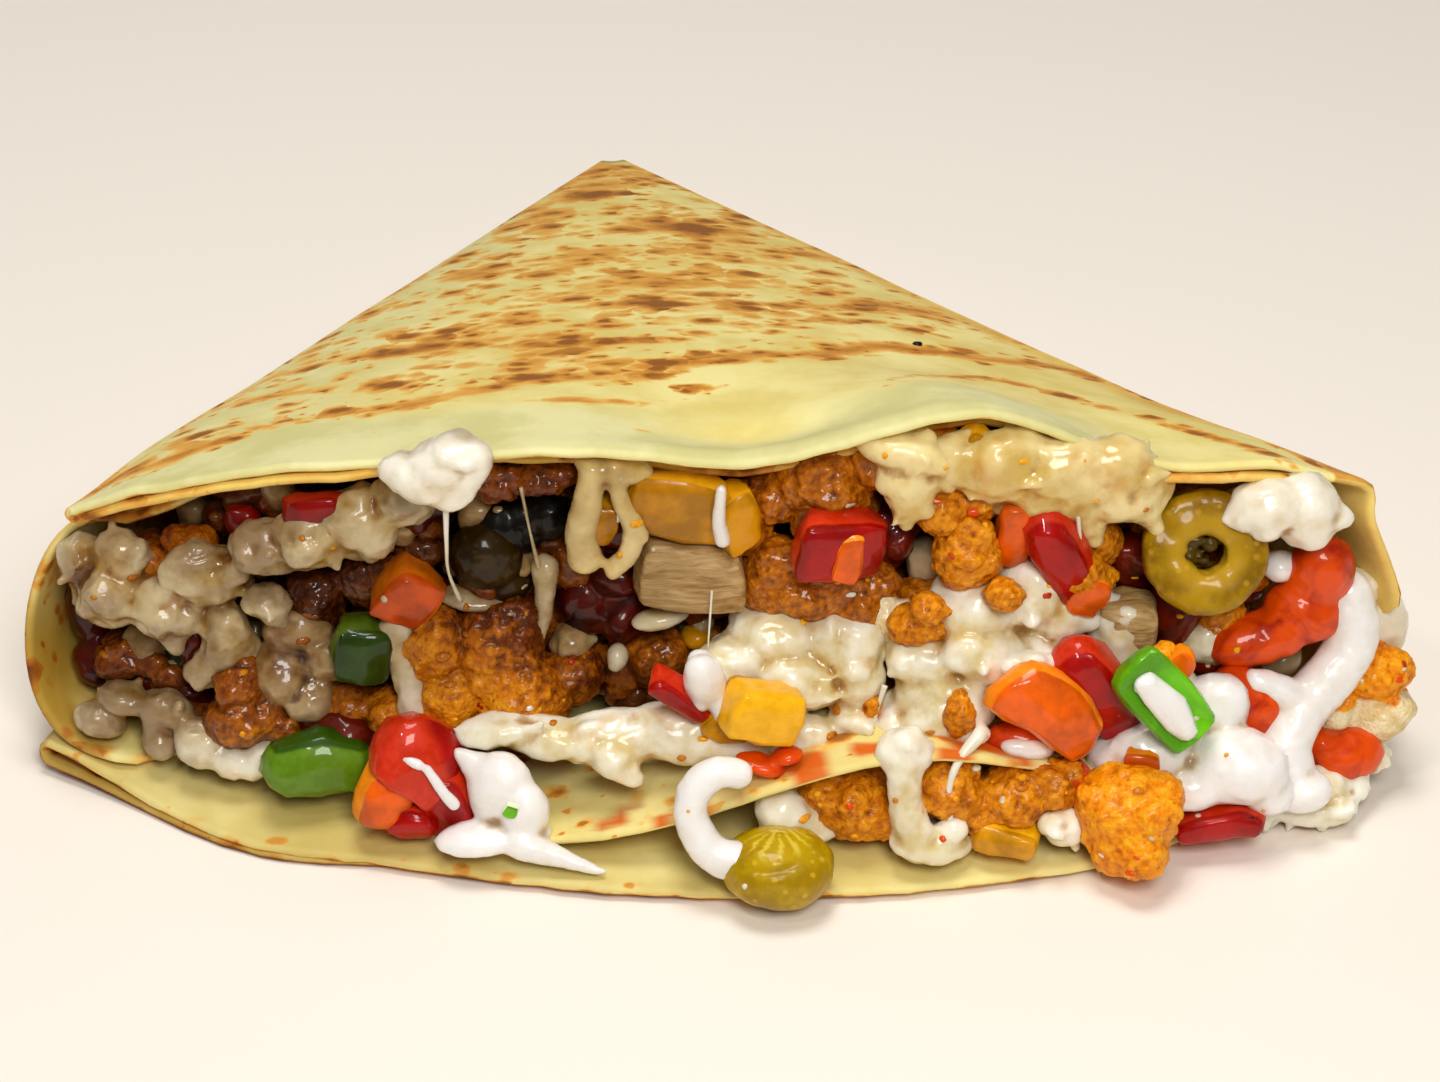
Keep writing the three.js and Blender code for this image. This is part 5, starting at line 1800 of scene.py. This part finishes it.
@dataclass
class Medley:
    """The chopped bits that fill the mouth between and behind the large pieces."""

    left: float = -96.0
    right: float = 90.0
    crepe: FoldedCrepe = field(default_factory=FoldedCrepe)
    scatters: tuple[Scatter, ...] = (
        Scatter("medley_chicken", Tone.BROWN, 85, 5.0, 10.0),
        Scatter("medley_chicken_dark", Tone.DARK, 40, 5.0, 9.0, 19.0),
        Scatter("medley_sauce", Paint.DARK_SAUCE, 46, 4.5, 9.0),
        Scatter("medley_cheese", Paint.CHEESE_SHADE, 44, 3.5, 8.0, 14.0),
        Scatter("medley_red", Paint.RED_PEPPER, 12, 3.0, 5.0),
        Scatter("medley_yellow", Paint.YELLOW_PEPPER, 10, 3.0, 5.0),
        Scatter("medley_green", Paint.DARK_GREEN_PEPPER, 8, 3.0, 5.0),
    )

    def build(self, kitchen: Kitchen) -> None:
        """Builds each kind as one piece and serves it.

        Args:
            kitchen: Where the pieces are dressed and served.
        """
        for scatter in self.scatters:
            chance = random.Random(scatter.name)
            lumps = tuple(self.lump(chance, scatter) for _ in range(scatter.count))
            mass = Mass(scatter.name, lumps, knobs=3, rough=0.6, voxel=0.7, smooth=2, paint=scatter.paint)
            clay = mass.clay()
            if isinstance(scatter.paint, Tone):
                crumb_coat(clay, Nugget(scatter.name, lumps), 1.5, 0.8)
            else:
                clay.mark("skin", lambda v: smooth_step(-v.normal.y, -0.2, 0.4))
            kitchen.serve(scatter.name, clay, scatter.paint)

    def lump(self, chance: random.Random, scatter: Scatter) -> Lump:
        """Throws one bit into the mouth, between the sheets above and below.

        Args:
            chance: The source of chance.
            scatter: The kind of bit.

        Returns:
            The bit's middle and size.
        """
        x = chance.uniform(self.left, self.right)
        y = chance.uniform(scatter.near, scatter.far) + 9 * (x / 95) ** 2
        low = self.crepe.inner.height(x) + 3.0
        high = self.crepe.cover.height(x) + self.crepe.lip(x) - 4.0
        size = chance.uniform(scatter.small, scatter.large)
        return (x, y, chance.uniform(low, high)), tuple(size * chance.uniform(0.75, 1.25) for _ in range(3))


# ------------ peppers
@dataclass(frozen=True)
class Cut:
    """A piece cut from a pepper's curved wall, or a slice of plain meat."""

    node: str
    centre: Triple
    size: Triple
    paint: Paint
    turn: Triple = (0, 0, 0)
    bend: float = 0.1
    skin: Triple = (0, -1, 0)  # the side that has the skin, before it is turned
    uneven: float = 0.14  # how far its corners are off, as a share of its size
    hollow: float = 0.0  # how wide a rim stands round its hollow front
    soft: float = 0.25  # how far its box is rounded into an egg


@dataclass
class PepperCuts:
    """The diced and sliced peppers, and the two pieces of plain chicken."""

    edge: float = 0.8
    cuts: tuple[Cut, ...] = (
        Cut("pepper_yellow_low", (42.5, -7.4, 6.6), (10, 6, 5), Paint.YELLOW_PEPPER, (0, 8, -10)),
        Cut("pepper_green_ring", (65.6, -1.6, 27.6), (17, 5, 9), Paint.GREEN_PEPPER, (-18, 50, 0), 0.04,
            (0, 0, 1), 0.08, 2.3, 0.1),
        Cut("pepper_orange_right", (48, -1.4, 25), (17.5, 7, 10), Paint.ORANGE_PEPPER, (-15, 42, 0), 0.3,
            uneven=0.2, soft=0.6),
        Cut("pepper_red_right", (56.6, 3.6, 26), (8.5, 7, 17), Paint.RED_PEPPER, (0, -34, 0), 0.2,
            soft=0.5),
        Cut("pepper_red_low", (75, -2.4, 5.6), (13, 7, 4.4), Paint.RED_PEPPER, (0, -8, 0), 0.2),
        Cut("pepper_yellow_dice", (6, -2.4, 26.4), (10.6, 8, 9), Paint.YELLOW_PEPPER, (-8, 16, 10), 0,
            (0, 1, 0), 0.1),
        Cut("pepper_pink", (-5.6, 0.6, 26.4), (11, 5, 3), Paint.RED_PEPPER, (0, 42, 0)),
        Cut("pepper_red_dice", (17.8, 8.8, 48.4), (13.4, 8, 9.4), Paint.RED_PEPPER, (0, 10, 14), 0),
        Cut("pepper_red_big", (-46, -0.4, 15.6), (13, 9.5, 11), Paint.RED_PEPPER, (-18, 30, 10), 0.2,
            (0.3, -1, 0.4), 0.2, soft=0.4),
        Cut("pepper_green_strip", (-61, 5, 10.4), (15.4, 8.4, 9), Paint.DARK_GREEN_PEPPER, (-24, 4, 8),
            0.22, (0, -0.3, 1), 0.1, soft=0.75),
        Cut("pepper_green_dice", (-54, 11, 28), (8.6, 7, 9.4), Paint.DARK_GREEN_PEPPER, (0, 6, 10), 0.05,
            (0, -1, 0), 0.1, soft=0.5),
        Cut("pepper_orange_left", (-46.6, 12.6, 36.6), (10, 7, 8.6), Paint.ORANGE_PEPPER, (0, 36, 0), 0.1,
            (0, -1, 0), 0.2),
        Cut("pepper_yellow_big", (-6.4, 13, 52.6), (15, 8, 11.5), Paint.YELLOW_PEPPER, (0, 6, 0), 0.12,
            (0, -1, 0), 0.2),
        Cut("pepper_red_top", (50.4, 9.6, 46), (7.4, 7, 16), Paint.RED_PEPPER, (0, -24, 0), 0.12,
            (0, -1, 0), 0.2, soft=0.5),
        Cut("breast_slice", (-4, 12, 41.6), (15.2, 9, 11), Paint.BREAST, (0, 8, 0), 0, (0, 1, 0), 0.12),
        Cut("chicken_bit_right", (61, 12.4, 31.6), (8, 8, 9), Paint.BREAST, (0, 0, 0), 0, (0, 1, 0), 0.16),
    )
    extras: tuple[Cut, ...] = (
        Cut("pepper_yellow_lobe", (2.4, 12.6, 51), (7, 7, 9), Paint.YELLOW_PEPPER, (0, -12, 20), 0.1,
            (0, -1, 0), 0.2),
        Cut("pepper_dice_orange_heart", (18.6, 5.6, 48), (4.6, 3.4, 7.6), Paint.ORANGE_PEPPER, (0, 8, 14),
            0),
        Cut("pepper_orange_at_red_top", (54.6, 9.6, 39.6), (5.6, 6, 6), Paint.ORANGE_PEPPER, (0, 20, 0),
            0.1, soft=0.5),
        Cut("pepper_orange_by_gold", (43.6, 12, 49), (5, 6, 10), Paint.ORANGE_PEPPER, (0, 4, 0), 0.1),
        Cut("pepper_olive_bit", (-17.4, 12, 50.6), (4.6, 5, 6.6), Paint.YELLOW_PEPPER, (0, 12, 0), 0.1),
        Cut("pepper_bit_on_ring", (68, 2.6, 30.8), (4, 3, 5.4), Paint.ORANGE_PEPPER, (0, 40, 0), 0.1),
        Cut("pepper_yellow_under_lip", (38, 13, 63.6), (6, 5, 3.4), Paint.YELLOW_PEPPER, (0, 34, 0), 0.1),
        Cut("pepper_red_under_lip", (-60.3, 15.6, 50), (9.5, 4, 5), Paint.RED_PEPPER, (0, -10, 0), 0.1),
        Cut("pepper_yellow_by_pink", (1, 0.6, 21.6), (7, 5, 4.5), Paint.YELLOW_PEPPER, (0, 30, 0), 0.1),
        Cut("pepper_red_big_low", (-41.8, -1.2, 9.4), (9, 8, 10.5), Paint.RED_PEPPER, (8, -20, -14), 0.2,
            soft=0.45),
        Cut("pepper_orange_flesh_low", (-50.6, -2.6, 10.8), (7, 7, 9), Paint.ORANGE_PEPPER, (0, 20, 20),
            0.1, soft=0.4),
        Cut("pepper_red_heel", (-46.4, -3.2, 6.8), (7.4, 6, 5), Paint.RED_PEPPER, (0, 8, 0), 0.1, soft=0.8),
        Cut("pepper_red_chip", (16.6, -1.6, 16.6), (2, 2.4, 5.6), Paint.RED_PEPPER, (0, 6, 0), 0),
        Cut("pepper_green_chip", (-31, -8.6, 12.4), (2.4, 2, 2.4), Paint.GREEN_PEPPER, (0, 20, 0), 0),
        Cut("cream_in_ring", (65.5, -3.5, 28.0), (11.6, 3, 3.9), Paint.CREAM, (-18, 50, 0), 0.04, soft=0.9),
        Cut("burnt_crumb", (31.6, 71.8, 44.6), (1.5, 1.2, 1.0), Paint.BLACK_OLIVE, (0, 10, 0), 0, soft=0.6),
        Cut("pepper_orange_in_cream", (63, -2.8, 17.4), (5.4, 3.6, 4), Paint.ORANGE_PEPPER, (0, 8, 0), 0),
    )

    def build(self, kitchen: Kitchen) -> None:
        """Builds every cut and serves it.

        Args:
            kitchen: Where the pieces are dressed and served.
        """
        for cut in self.cuts:
            kitchen.serve(f"{cut.node}_cut", self.block(cut), cut.paint, [cut.node])
        for cut in self.extras:
            kitchen.serve(cut.node, self.block(cut), cut.paint)

    def block(self, cut: Cut) -> Clay:
        """Models one cut.

        Args:
            cut: Its place, size and side with the skin.

        Returns:
            Its clay, with the skin marked.
        """
        clay = Clay()
        chance = random.Random(cut.node)
        corners = bmesh.ops.create_cube(clay.bm, size=1.0)["verts"]
        for v in corners:
            v.co += Vector([chance.uniform(-cut.uneven, cut.uneven) for _ in range(3)])
        bmesh.ops.transform(clay.bm, matrix=Matrix.Diagonal((*cut.size, 1.0)), verts=corners)
        if cut.hollow:
            self.hollow_out(clay, cut.hollow)
        bmesh.ops.bevel(
            clay.bm, geom=clay.bm.edges[:], offset=min(self.edge, 0.16 * min(cut.size)), segments=3,
            offset_type="OFFSET", profile=0.5, affect="EDGES", material=-1,
        )
        bmesh.ops.subdivide_edges(clay.bm, edges=clay.bm.edges[:], cuts=3, use_grid_fill=True)
        skin = Vector(cut.skin).normalized()
        reach = abs(sum(s * abs(c) for s, c in zip(cut.size, skin))) / 2
        clay.mark("skin", lambda v: 1.0 if cut.hollow else smooth_step(v.co.dot(skin) / reach, 0.5, 0.85))
        place = placed(cut.centre, cut.turn)
        for v in clay.bm.verts:
            x, y, z = (c / s for c, s in zip(v.co, cut.size))
            round_off = 1.04 - 0.34 * (x * x + z * z) ** 2
            egg = 0.62 / max(0.3, math.sqrt(x * x + y * y + z * z))
            v.co *= lerp(1.0, min(1.25, egg), cut.soft)
            v.co.x *= round_off
            v.co.z = v.co.z * round_off + cut.bend * cut.size[0] * (0.25 - x * x)
            v.co.y *= 1.04 - 0.3 * (x * x + z * z)
            v.co = place @ v.co
        bmesh.ops.recalc_face_normals(clay.bm, faces=clay.bm.faces[:])
        shift = Vector((cut.size[0] * 9, cut.centre[0], 4.0))
        clay.swell(lambda p: (0.5 + 0.5 * cut.soft) * fractal((p + shift) / 4.0))
        return clay

    @staticmethod
    def hollow_out(clay: Clay, rim: float) -> None:
        """Sinks the front of a block within a rim.

        Args:
            clay: The block.
            rim: How wide the rim is.
        """
        clay.bm.normal_update()
        front = [f for f in clay.bm.faces if f.normal.y < -0.7]
        bmesh.ops.inset_region(clay.bm, faces=front, thickness=rim, use_even_offset=True)
        for v in front[0].verts:
            v.co.y += 1.2
            v.co.x *= 0.8
            v.co.z *= 0.9


# ------------ olives
@dataclass
class Olives:
    """The olives: a cap in front, a ring, and two in the shade."""

    cap_centre: Triple = (8.6, -15, 6.9)
    cap_size: Triple = (17, 14.5, 12)
    ring_centre: Triple = (72.1, 12.4, 44.6)
    ring_across: float = 18.8
    ring_thick: float = 5.0
    ring_hole: float = 5.6
    ring_tilt: float = 62.0
    shaded: tuple[tuple[str, Paint, tuple[Lump, ...]], ...] = (
        ("olive_black", Paint.BLACK_OLIVE,
         (((-31.5, 19, 45), (11.5, 9, 11)), ((-25.6, 19.6, 47), (8.5, 9, 9)))),
        ("olive_dark_green", Paint.SHADY_OLIVE,
         (((-35, 16.6, 41), (11.5, 10, 13)), ((-32.6, 17, 36.6), (9, 8, 7)))),
    )

    def build(self, kitchen: Kitchen) -> None:
        """Builds the olives and serves them.

        Args:
            kitchen: Where the pieces are dressed and served.
        """
        self.front(kitchen)
        self.ring(kitchen)
        for name, paint, lumps in self.shaded:
            clay = Mass(name, lumps, voxel=0.5, smooth=5).clay()
            clay.mark("cut", lambda v: 0.0)
            kitchen.serve(f"{name}_flesh", clay, paint, [name])

    def front(self, kitchen: Kitchen) -> None:
        """Builds the cap at the front edge, with the crease across its cut top.

        Args:
            kitchen: Where the pieces are dressed and served.
        """
        clay = Clay()
        centre = Vector(self.cap_centre)
        clay.ball(self.cap_centre, self.cap_size, divisions=5)

        def press(p: Vector) -> float:
            """Returns how far the top is pressed in, deepest along the crease."""
            d = p - centre
            top = smooth_step(d.z, 1.5, 5.5)
            crease = bell(d.z - 3.6 - 0.12 * d.x, 0, 0.5) * bell(d.x, -0.5, 3.2) * smooth_step(-d.y, 0, 3)
            return -0.5 * top - 0.9 * crease + 0.35 * fractal(p / 5)

        clay.swell(press)
        clay.mark("cut", lambda v: self.veins(v.co - centre))
        kitchen.serve("olive_front_flesh", clay, Paint.GREEN_OLIVE, ["olive_front"])

    @staticmethod
    def veins(d: Vector) -> float:
        """Returns the pale veins that spread over the cap's top."""
        around = math.atan2(d.x, -d.y + 3)
        rays = 0.5 + 0.5 * math.sin(around * 16 + 2 * noise.noise(d / 2))
        return smooth_step(d.z, 3.6, 5.2) * smooth_step(rays, 0.45, 0.9) * 0.9

    def ring(self, kitchen: Kitchen) -> None:
        """Builds the slice with its hole, and the ragged pulp in the hole.

        Args:
            kitchen: Where the pieces are dressed and served.
        """
        clay = Clay()
        outer, inner, half = self.ring_across / 2, self.ring_hole / 2, self.ring_thick / 2
        middle, wide = (outer + inner) / 2, (outer - inner) / 2
        profile = bmesh.ops.create_circle(clay.bm, segments=28, radius=1.0)["verts"]
        for v in profile:
            angle = math.atan2(v.co.y, v.co.x)
            square = 1 / max(abs(math.cos(angle)) ** 4 + abs(math.sin(angle)) ** 4, 0.05) ** 0.25
            v.co = Vector((middle + wide * math.cos(angle) * square, 0, half * math.sin(angle) * square))
        bmesh.ops.spin(
            clay.bm, geom=profile + clay.bm.edges[:], cent=(0, 0, 0), axis=(0, 0, 1), angle=math.tau,
            steps=72, use_merge=True, use_duplicate=False,
        )
        bmesh.ops.remove_doubles(clay.bm, verts=clay.bm.verts[:], dist=1e-4)
        bmesh.ops.recalc_face_normals(clay.bm, faces=clay.bm.faces[:])
        clay.mark("cut", lambda v: smooth_step(math.hypot(v.co.x, v.co.y), outer - 1.2, inner + 1.0) * 0.9)
        clay.swell(lambda p: 0.35 * fractal(p / 3.5) + 0.5 * noise.noise(p / 2) * bell(p.length, 3, 1.6))
        place = Matrix.Translation(self.ring_centre) @ Matrix.Rotation(math.radians(self.ring_tilt), 4, "X")
        bmesh.ops.transform(clay.bm, matrix=place, verts=clay.bm.verts)
        kitchen.serve("olive_ring_flesh", clay, Paint.RING_OLIVE, ["olive_ring"])
        pulp = Clay()
        chance = random.Random(5)
        for _ in range(16):
            spot = Vector((chance.uniform(-2.6, 2.6), chance.uniform(-2.6, 2.6), chance.uniform(-1.5, 1.8)))
            size = tuple(chance.uniform(1.0, 2.6) for _ in range(3))
            pulp.ball(tuple(place @ spot), size, divisions=2)
        pulp.melt(0.3, 2)
        pulp.mark("cut", lambda v: 0.3)
        kitchen.serve("olive_ring_pulp", pulp, Paint.SHADY_OLIVE)


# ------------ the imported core
@dataclass
class PackedFilling:
    """The chopped filling behind the mouth, which runs through to the tip."""

    voxel: float = 1.3
    bit: float = 5.5  # how wide the chopped bits are

    def build(self, kitchen: Kitchen) -> None:
        """Builds a rough, chopped surface over each of the frame's two filling bodies.

        Args:
            kitchen: Where the pieces are dressed and served.
        """
        for node in ("filling_upper", "filling_lower"):
            clay = Clay()
            clay.bm.from_mesh(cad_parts[node].data)
            bmesh.ops.transform(clay.bm, matrix=TO_ROW.inverted(), verts=clay.bm.verts)
            bmesh.ops.remove_doubles(clay.bm, verts=clay.bm.verts[:], dist=1e-3)
            clay.melt(self.voxel, 2)
            clay.swell(self.chopped)
            kitchen.serve(f"{node}_chopped", clay, Paint.CHOPPED, [node])

    def chopped(self, p: Vector) -> float:
        """Returns the relief of the chopped bits."""
        return 1.6 * (0.4 - noise.voronoi(p / self.bit)[0][0]) + 0.5 * fractal(p / 2.2, octaves=2)


# ------------ thin strings
@dataclass
class CheeseStrings:
    """The thin strings that the melted cheese pulled when the crepe was opened: paths and radii."""

    strings: tuple[tuple[tuple[Triple, ...], tuple[float, ...]], ...] = (
        (((-39.8, 5, 59.5), (-40, 5, 51), (-40, 6.5, 45), (-38.6, 9, 38)), (0.55, 0.32, 0.22, 0.4)),
        (((-29.2, 11, 57), (-28.2, 12, 49), (-27, 14, 40)), (0.3, 0.2, 0.4)),
        (((-14.6, 9.4, 60), (-15, 9.4, 52)), (0.35, 0.25)),
        (((-1.2, 7.6, 41), (-1.8, 4, 33)), (0.2, 0.12)),
        (((39, -2.6, 22.6), (35.4, -6, 19.6), (34, -8, 15.8), (34.2, -9, 10.6), (33, -9.2, 7)),
         (1.3, 0.7, 0.5, 0.6, 1.4)),
        (((24.6, 3, 27), (23.4, 1.6, 23), (22.4, 1, 18)), (0.5, 0.25, 0.6)),
        (((52.6, 9.6, 53), (53.2, 9, 47), (52.4, 9, 43)), (0.4, 0.18, 0.3)),
    )

    def build(self, kitchen: Kitchen) -> None:
        """Builds the strings as one piece and serves it.

        Args:
            kitchen: Where the pieces are dressed and served.
        """
        clay = Clay()
        for path, radii in self.strings:
            clay.cord(path, radii)
        bmesh.ops.recalc_face_normals(clay.bm, faces=clay.bm.faces[:])
        kitchen.serve("cheese_strings", clay, Paint.CHEESE)


# ------------ small bits
@dataclass(frozen=True)
class Sprinkle:
    """One kind of small bits that lie on the other pieces."""

    name: str
    paint: Enum
    count: int
    small: float
    large: float
    onto: tuple[str, ...]  # words in the names of the pieces that they lie on
    thin: float = 0.6  # their height, as a share of their width


@dataclass
class Sprinkles:
    """Loose crumbs, flecks of cheese and drops of sauce over the front of the filling."""

    toward: Triple = (0.0, -0.83, 0.56)  # the side of the pieces that they lie on
    kinds: tuple[Sprinkle, ...] = (
        Sprinkle("loose_crumbs", Tone.BRIGHT, 70, 0.5, 1.3, ("cheese_", "cream_", "crumbed", "sauce")),
        Sprinkle("loose_crumbs_brown", Tone.BROWN, 50, 0.6, 1.5, ("cheese_", "crumbed", "medley")),
        Sprinkle("sauce_drops", Paint.TOMATO, 18, 0.6, 1.4, ("cheese_", "crumbed"), 0.3),
        Sprinkle("cheese_flecks", Paint.CHEESE, 44, 0.5, 1.3, ("crumbed", "_cut", "medley", "olive"), 0.36),
    )

    def build(self, kitchen: Kitchen) -> None:
        """Builds each kind as one piece and serves it.

        Args:
            kitchen: Where the pieces are dressed and served.
        """
        back, toward = TO_ROW.inverted(), Vector(self.toward)
        for kind in self.kinds:
            chance = random.Random(kind.name)
            hosts = [p for p in kitchen.pieces if any(word in p.name for word in kind.onto)]
            spots = [v for host in hosts for v in host.data.vertices if v.normal.dot(toward) > 0.5]
            clay = Clay()
            for v in chance.sample(spots, kind.count):
                width = chance.uniform(kind.small, kind.large)
                turn = tuple(math.degrees(a) for a in v.normal.to_track_quat("Z", "Y").to_euler())
                size = (width * chance.uniform(0.7, 2.0), width, width * kind.thin)
                clay.ball(tuple(back @ v.co), size, turn, divisions=2)
            clay.swell(lambda p: 0.22 * noise.noise(p / 0.7))
            for name, value in (("relief", 0.7), ("bare", 0.0), ("crease", 0.4)):
                clay.mark(name, lambda v: value)
            kitchen.serve(kind.name, clay, kind.paint)


# ------------ studio
@dataclass
class Studio:
    """The pale floor, the soft lights and the camera."""

    camera_at: Triple = (0.00076, -0.57017, 0.37856)
    camera_pitch: float = 34.0
    lens: float = 100.0
    floor_colour: Colour = colour(246, 238, 227)
    world_light: float = 0.125
    aim: Triple = (0, -0.03, 0.03)  # what the lamps point at
    lamps: tuple[tuple[str, Triple, float, float, Triple], ...] = (  # name, place, size, power, tint
        ("key", (0.12, -0.66, 0.66), 0.28, 4.2, (1.0, 0.975, 0.94)),
        ("top", (-0.02, -0.04, 0.95), 0.34, 4.4, (1.0, 0.985, 0.96)),
        ("rim", (-0.55, 0.35, 0.6), 0.4, 0.6, (1.0, 0.98, 0.95)),
        ("glint", (-0.2, -0.42, 0.7), 0.05, 0.5, (1.0, 0.98, 0.95)),
    )

    def build(self) -> None:
        """Builds the floor, the lights and the camera."""
        self.lay_floor()
        world = bpy.data.worlds.new("studio")
        world.use_nodes = True
        backdrop = world.node_tree.nodes["Background"].inputs
        backdrop["Color"].default_value = (1.0, 0.98, 0.95, 1.0)
        backdrop["Strength"].default_value = self.world_light
        bpy.context.scene.world = world
        for name, place, size, power, tint in self.lamps:
            light = bpy.data.lights.new(name, "AREA")
            light.size, light.energy, light.color = size, power, tint
            lamp = self.hang(name, light, place)
            lamp.rotation_euler = (Vector(self.aim) - Vector(place)).to_track_quat("-Z", "Y").to_euler()
        camera = bpy.data.cameras.new("camera")
        camera.lens = self.lens
        camera.sensor_width = 36.0
        camera.clip_start = 0.01
        viewer = self.hang("camera", camera, self.camera_at)
        viewer.rotation_euler = (math.radians(90 - self.camera_pitch), 0, 0)
        bpy.context.scene.camera = viewer
        bpy.context.scene.view_settings.view_transform = "Standard"

    def lay_floor(self) -> None:
        """Lays the pale paper that the crepe stands on."""
        bm = bmesh.new()
        bmesh.ops.create_grid(bm, x_segments=1, y_segments=1, size=4.0)
        mesh = bpy.data.meshes.new("floor")
        bm.to_mesh(mesh)
        bm.free()
        paper = bpy.data.materials.new("floor_paper")
        paper.use_nodes = True
        shader = paper.node_tree.nodes["Principled BSDF"]
        shader.inputs["Base Color"].default_value = self.floor_colour
        shader.inputs["Roughness"].default_value = 0.8
        mesh.materials.append(paper)
        self.hang("floor", mesh)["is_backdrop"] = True

    @staticmethod
    def hang(name: str, data: bpy.types.ID, place: Triple = (0, 0, 0)) -> bpy.types.Object:
        """Puts a lamp, the camera or the floor into the scene and returns it."""
        made = bpy.data.objects.new(name, data)
        made.location = place
        bpy.context.scene.collection.objects.link(made)
        return made


def main() -> None:
    """Builds the studio and every part of the crepe, and reports each piece."""
    logging.basicConfig(level=logging.INFO, format="%(name)s %(message)s")
    effects = Effects.build()
    kitchen = Kitchen({key: finish.material(key.value, effects) for key, finish in FINISHES.items()})
    Studio().build()
    for assembly in (
        FoldedCrepe(),
        CrumbedChicken(),
        SoftFilling(),
        PepperCuts(),
        Olives(),
        CheeseStrings(),
        Medley(),
        PackedFilling(),
        Sprinkles(),
    ):
        assembly.build(kitchen)
    faces = sum(len(piece.data.polygons) for piece in kitchen.pieces)
    LOG.info("%d pieces, %d faces", len(kitchen.pieces), faces)
    sizes = {"cad": CAD_BOUNDS, "visual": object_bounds()}
    {name: [list(corner) for corner in corners] for name, corners in sizes.items()}


if __name__ == "__main__":
    main()
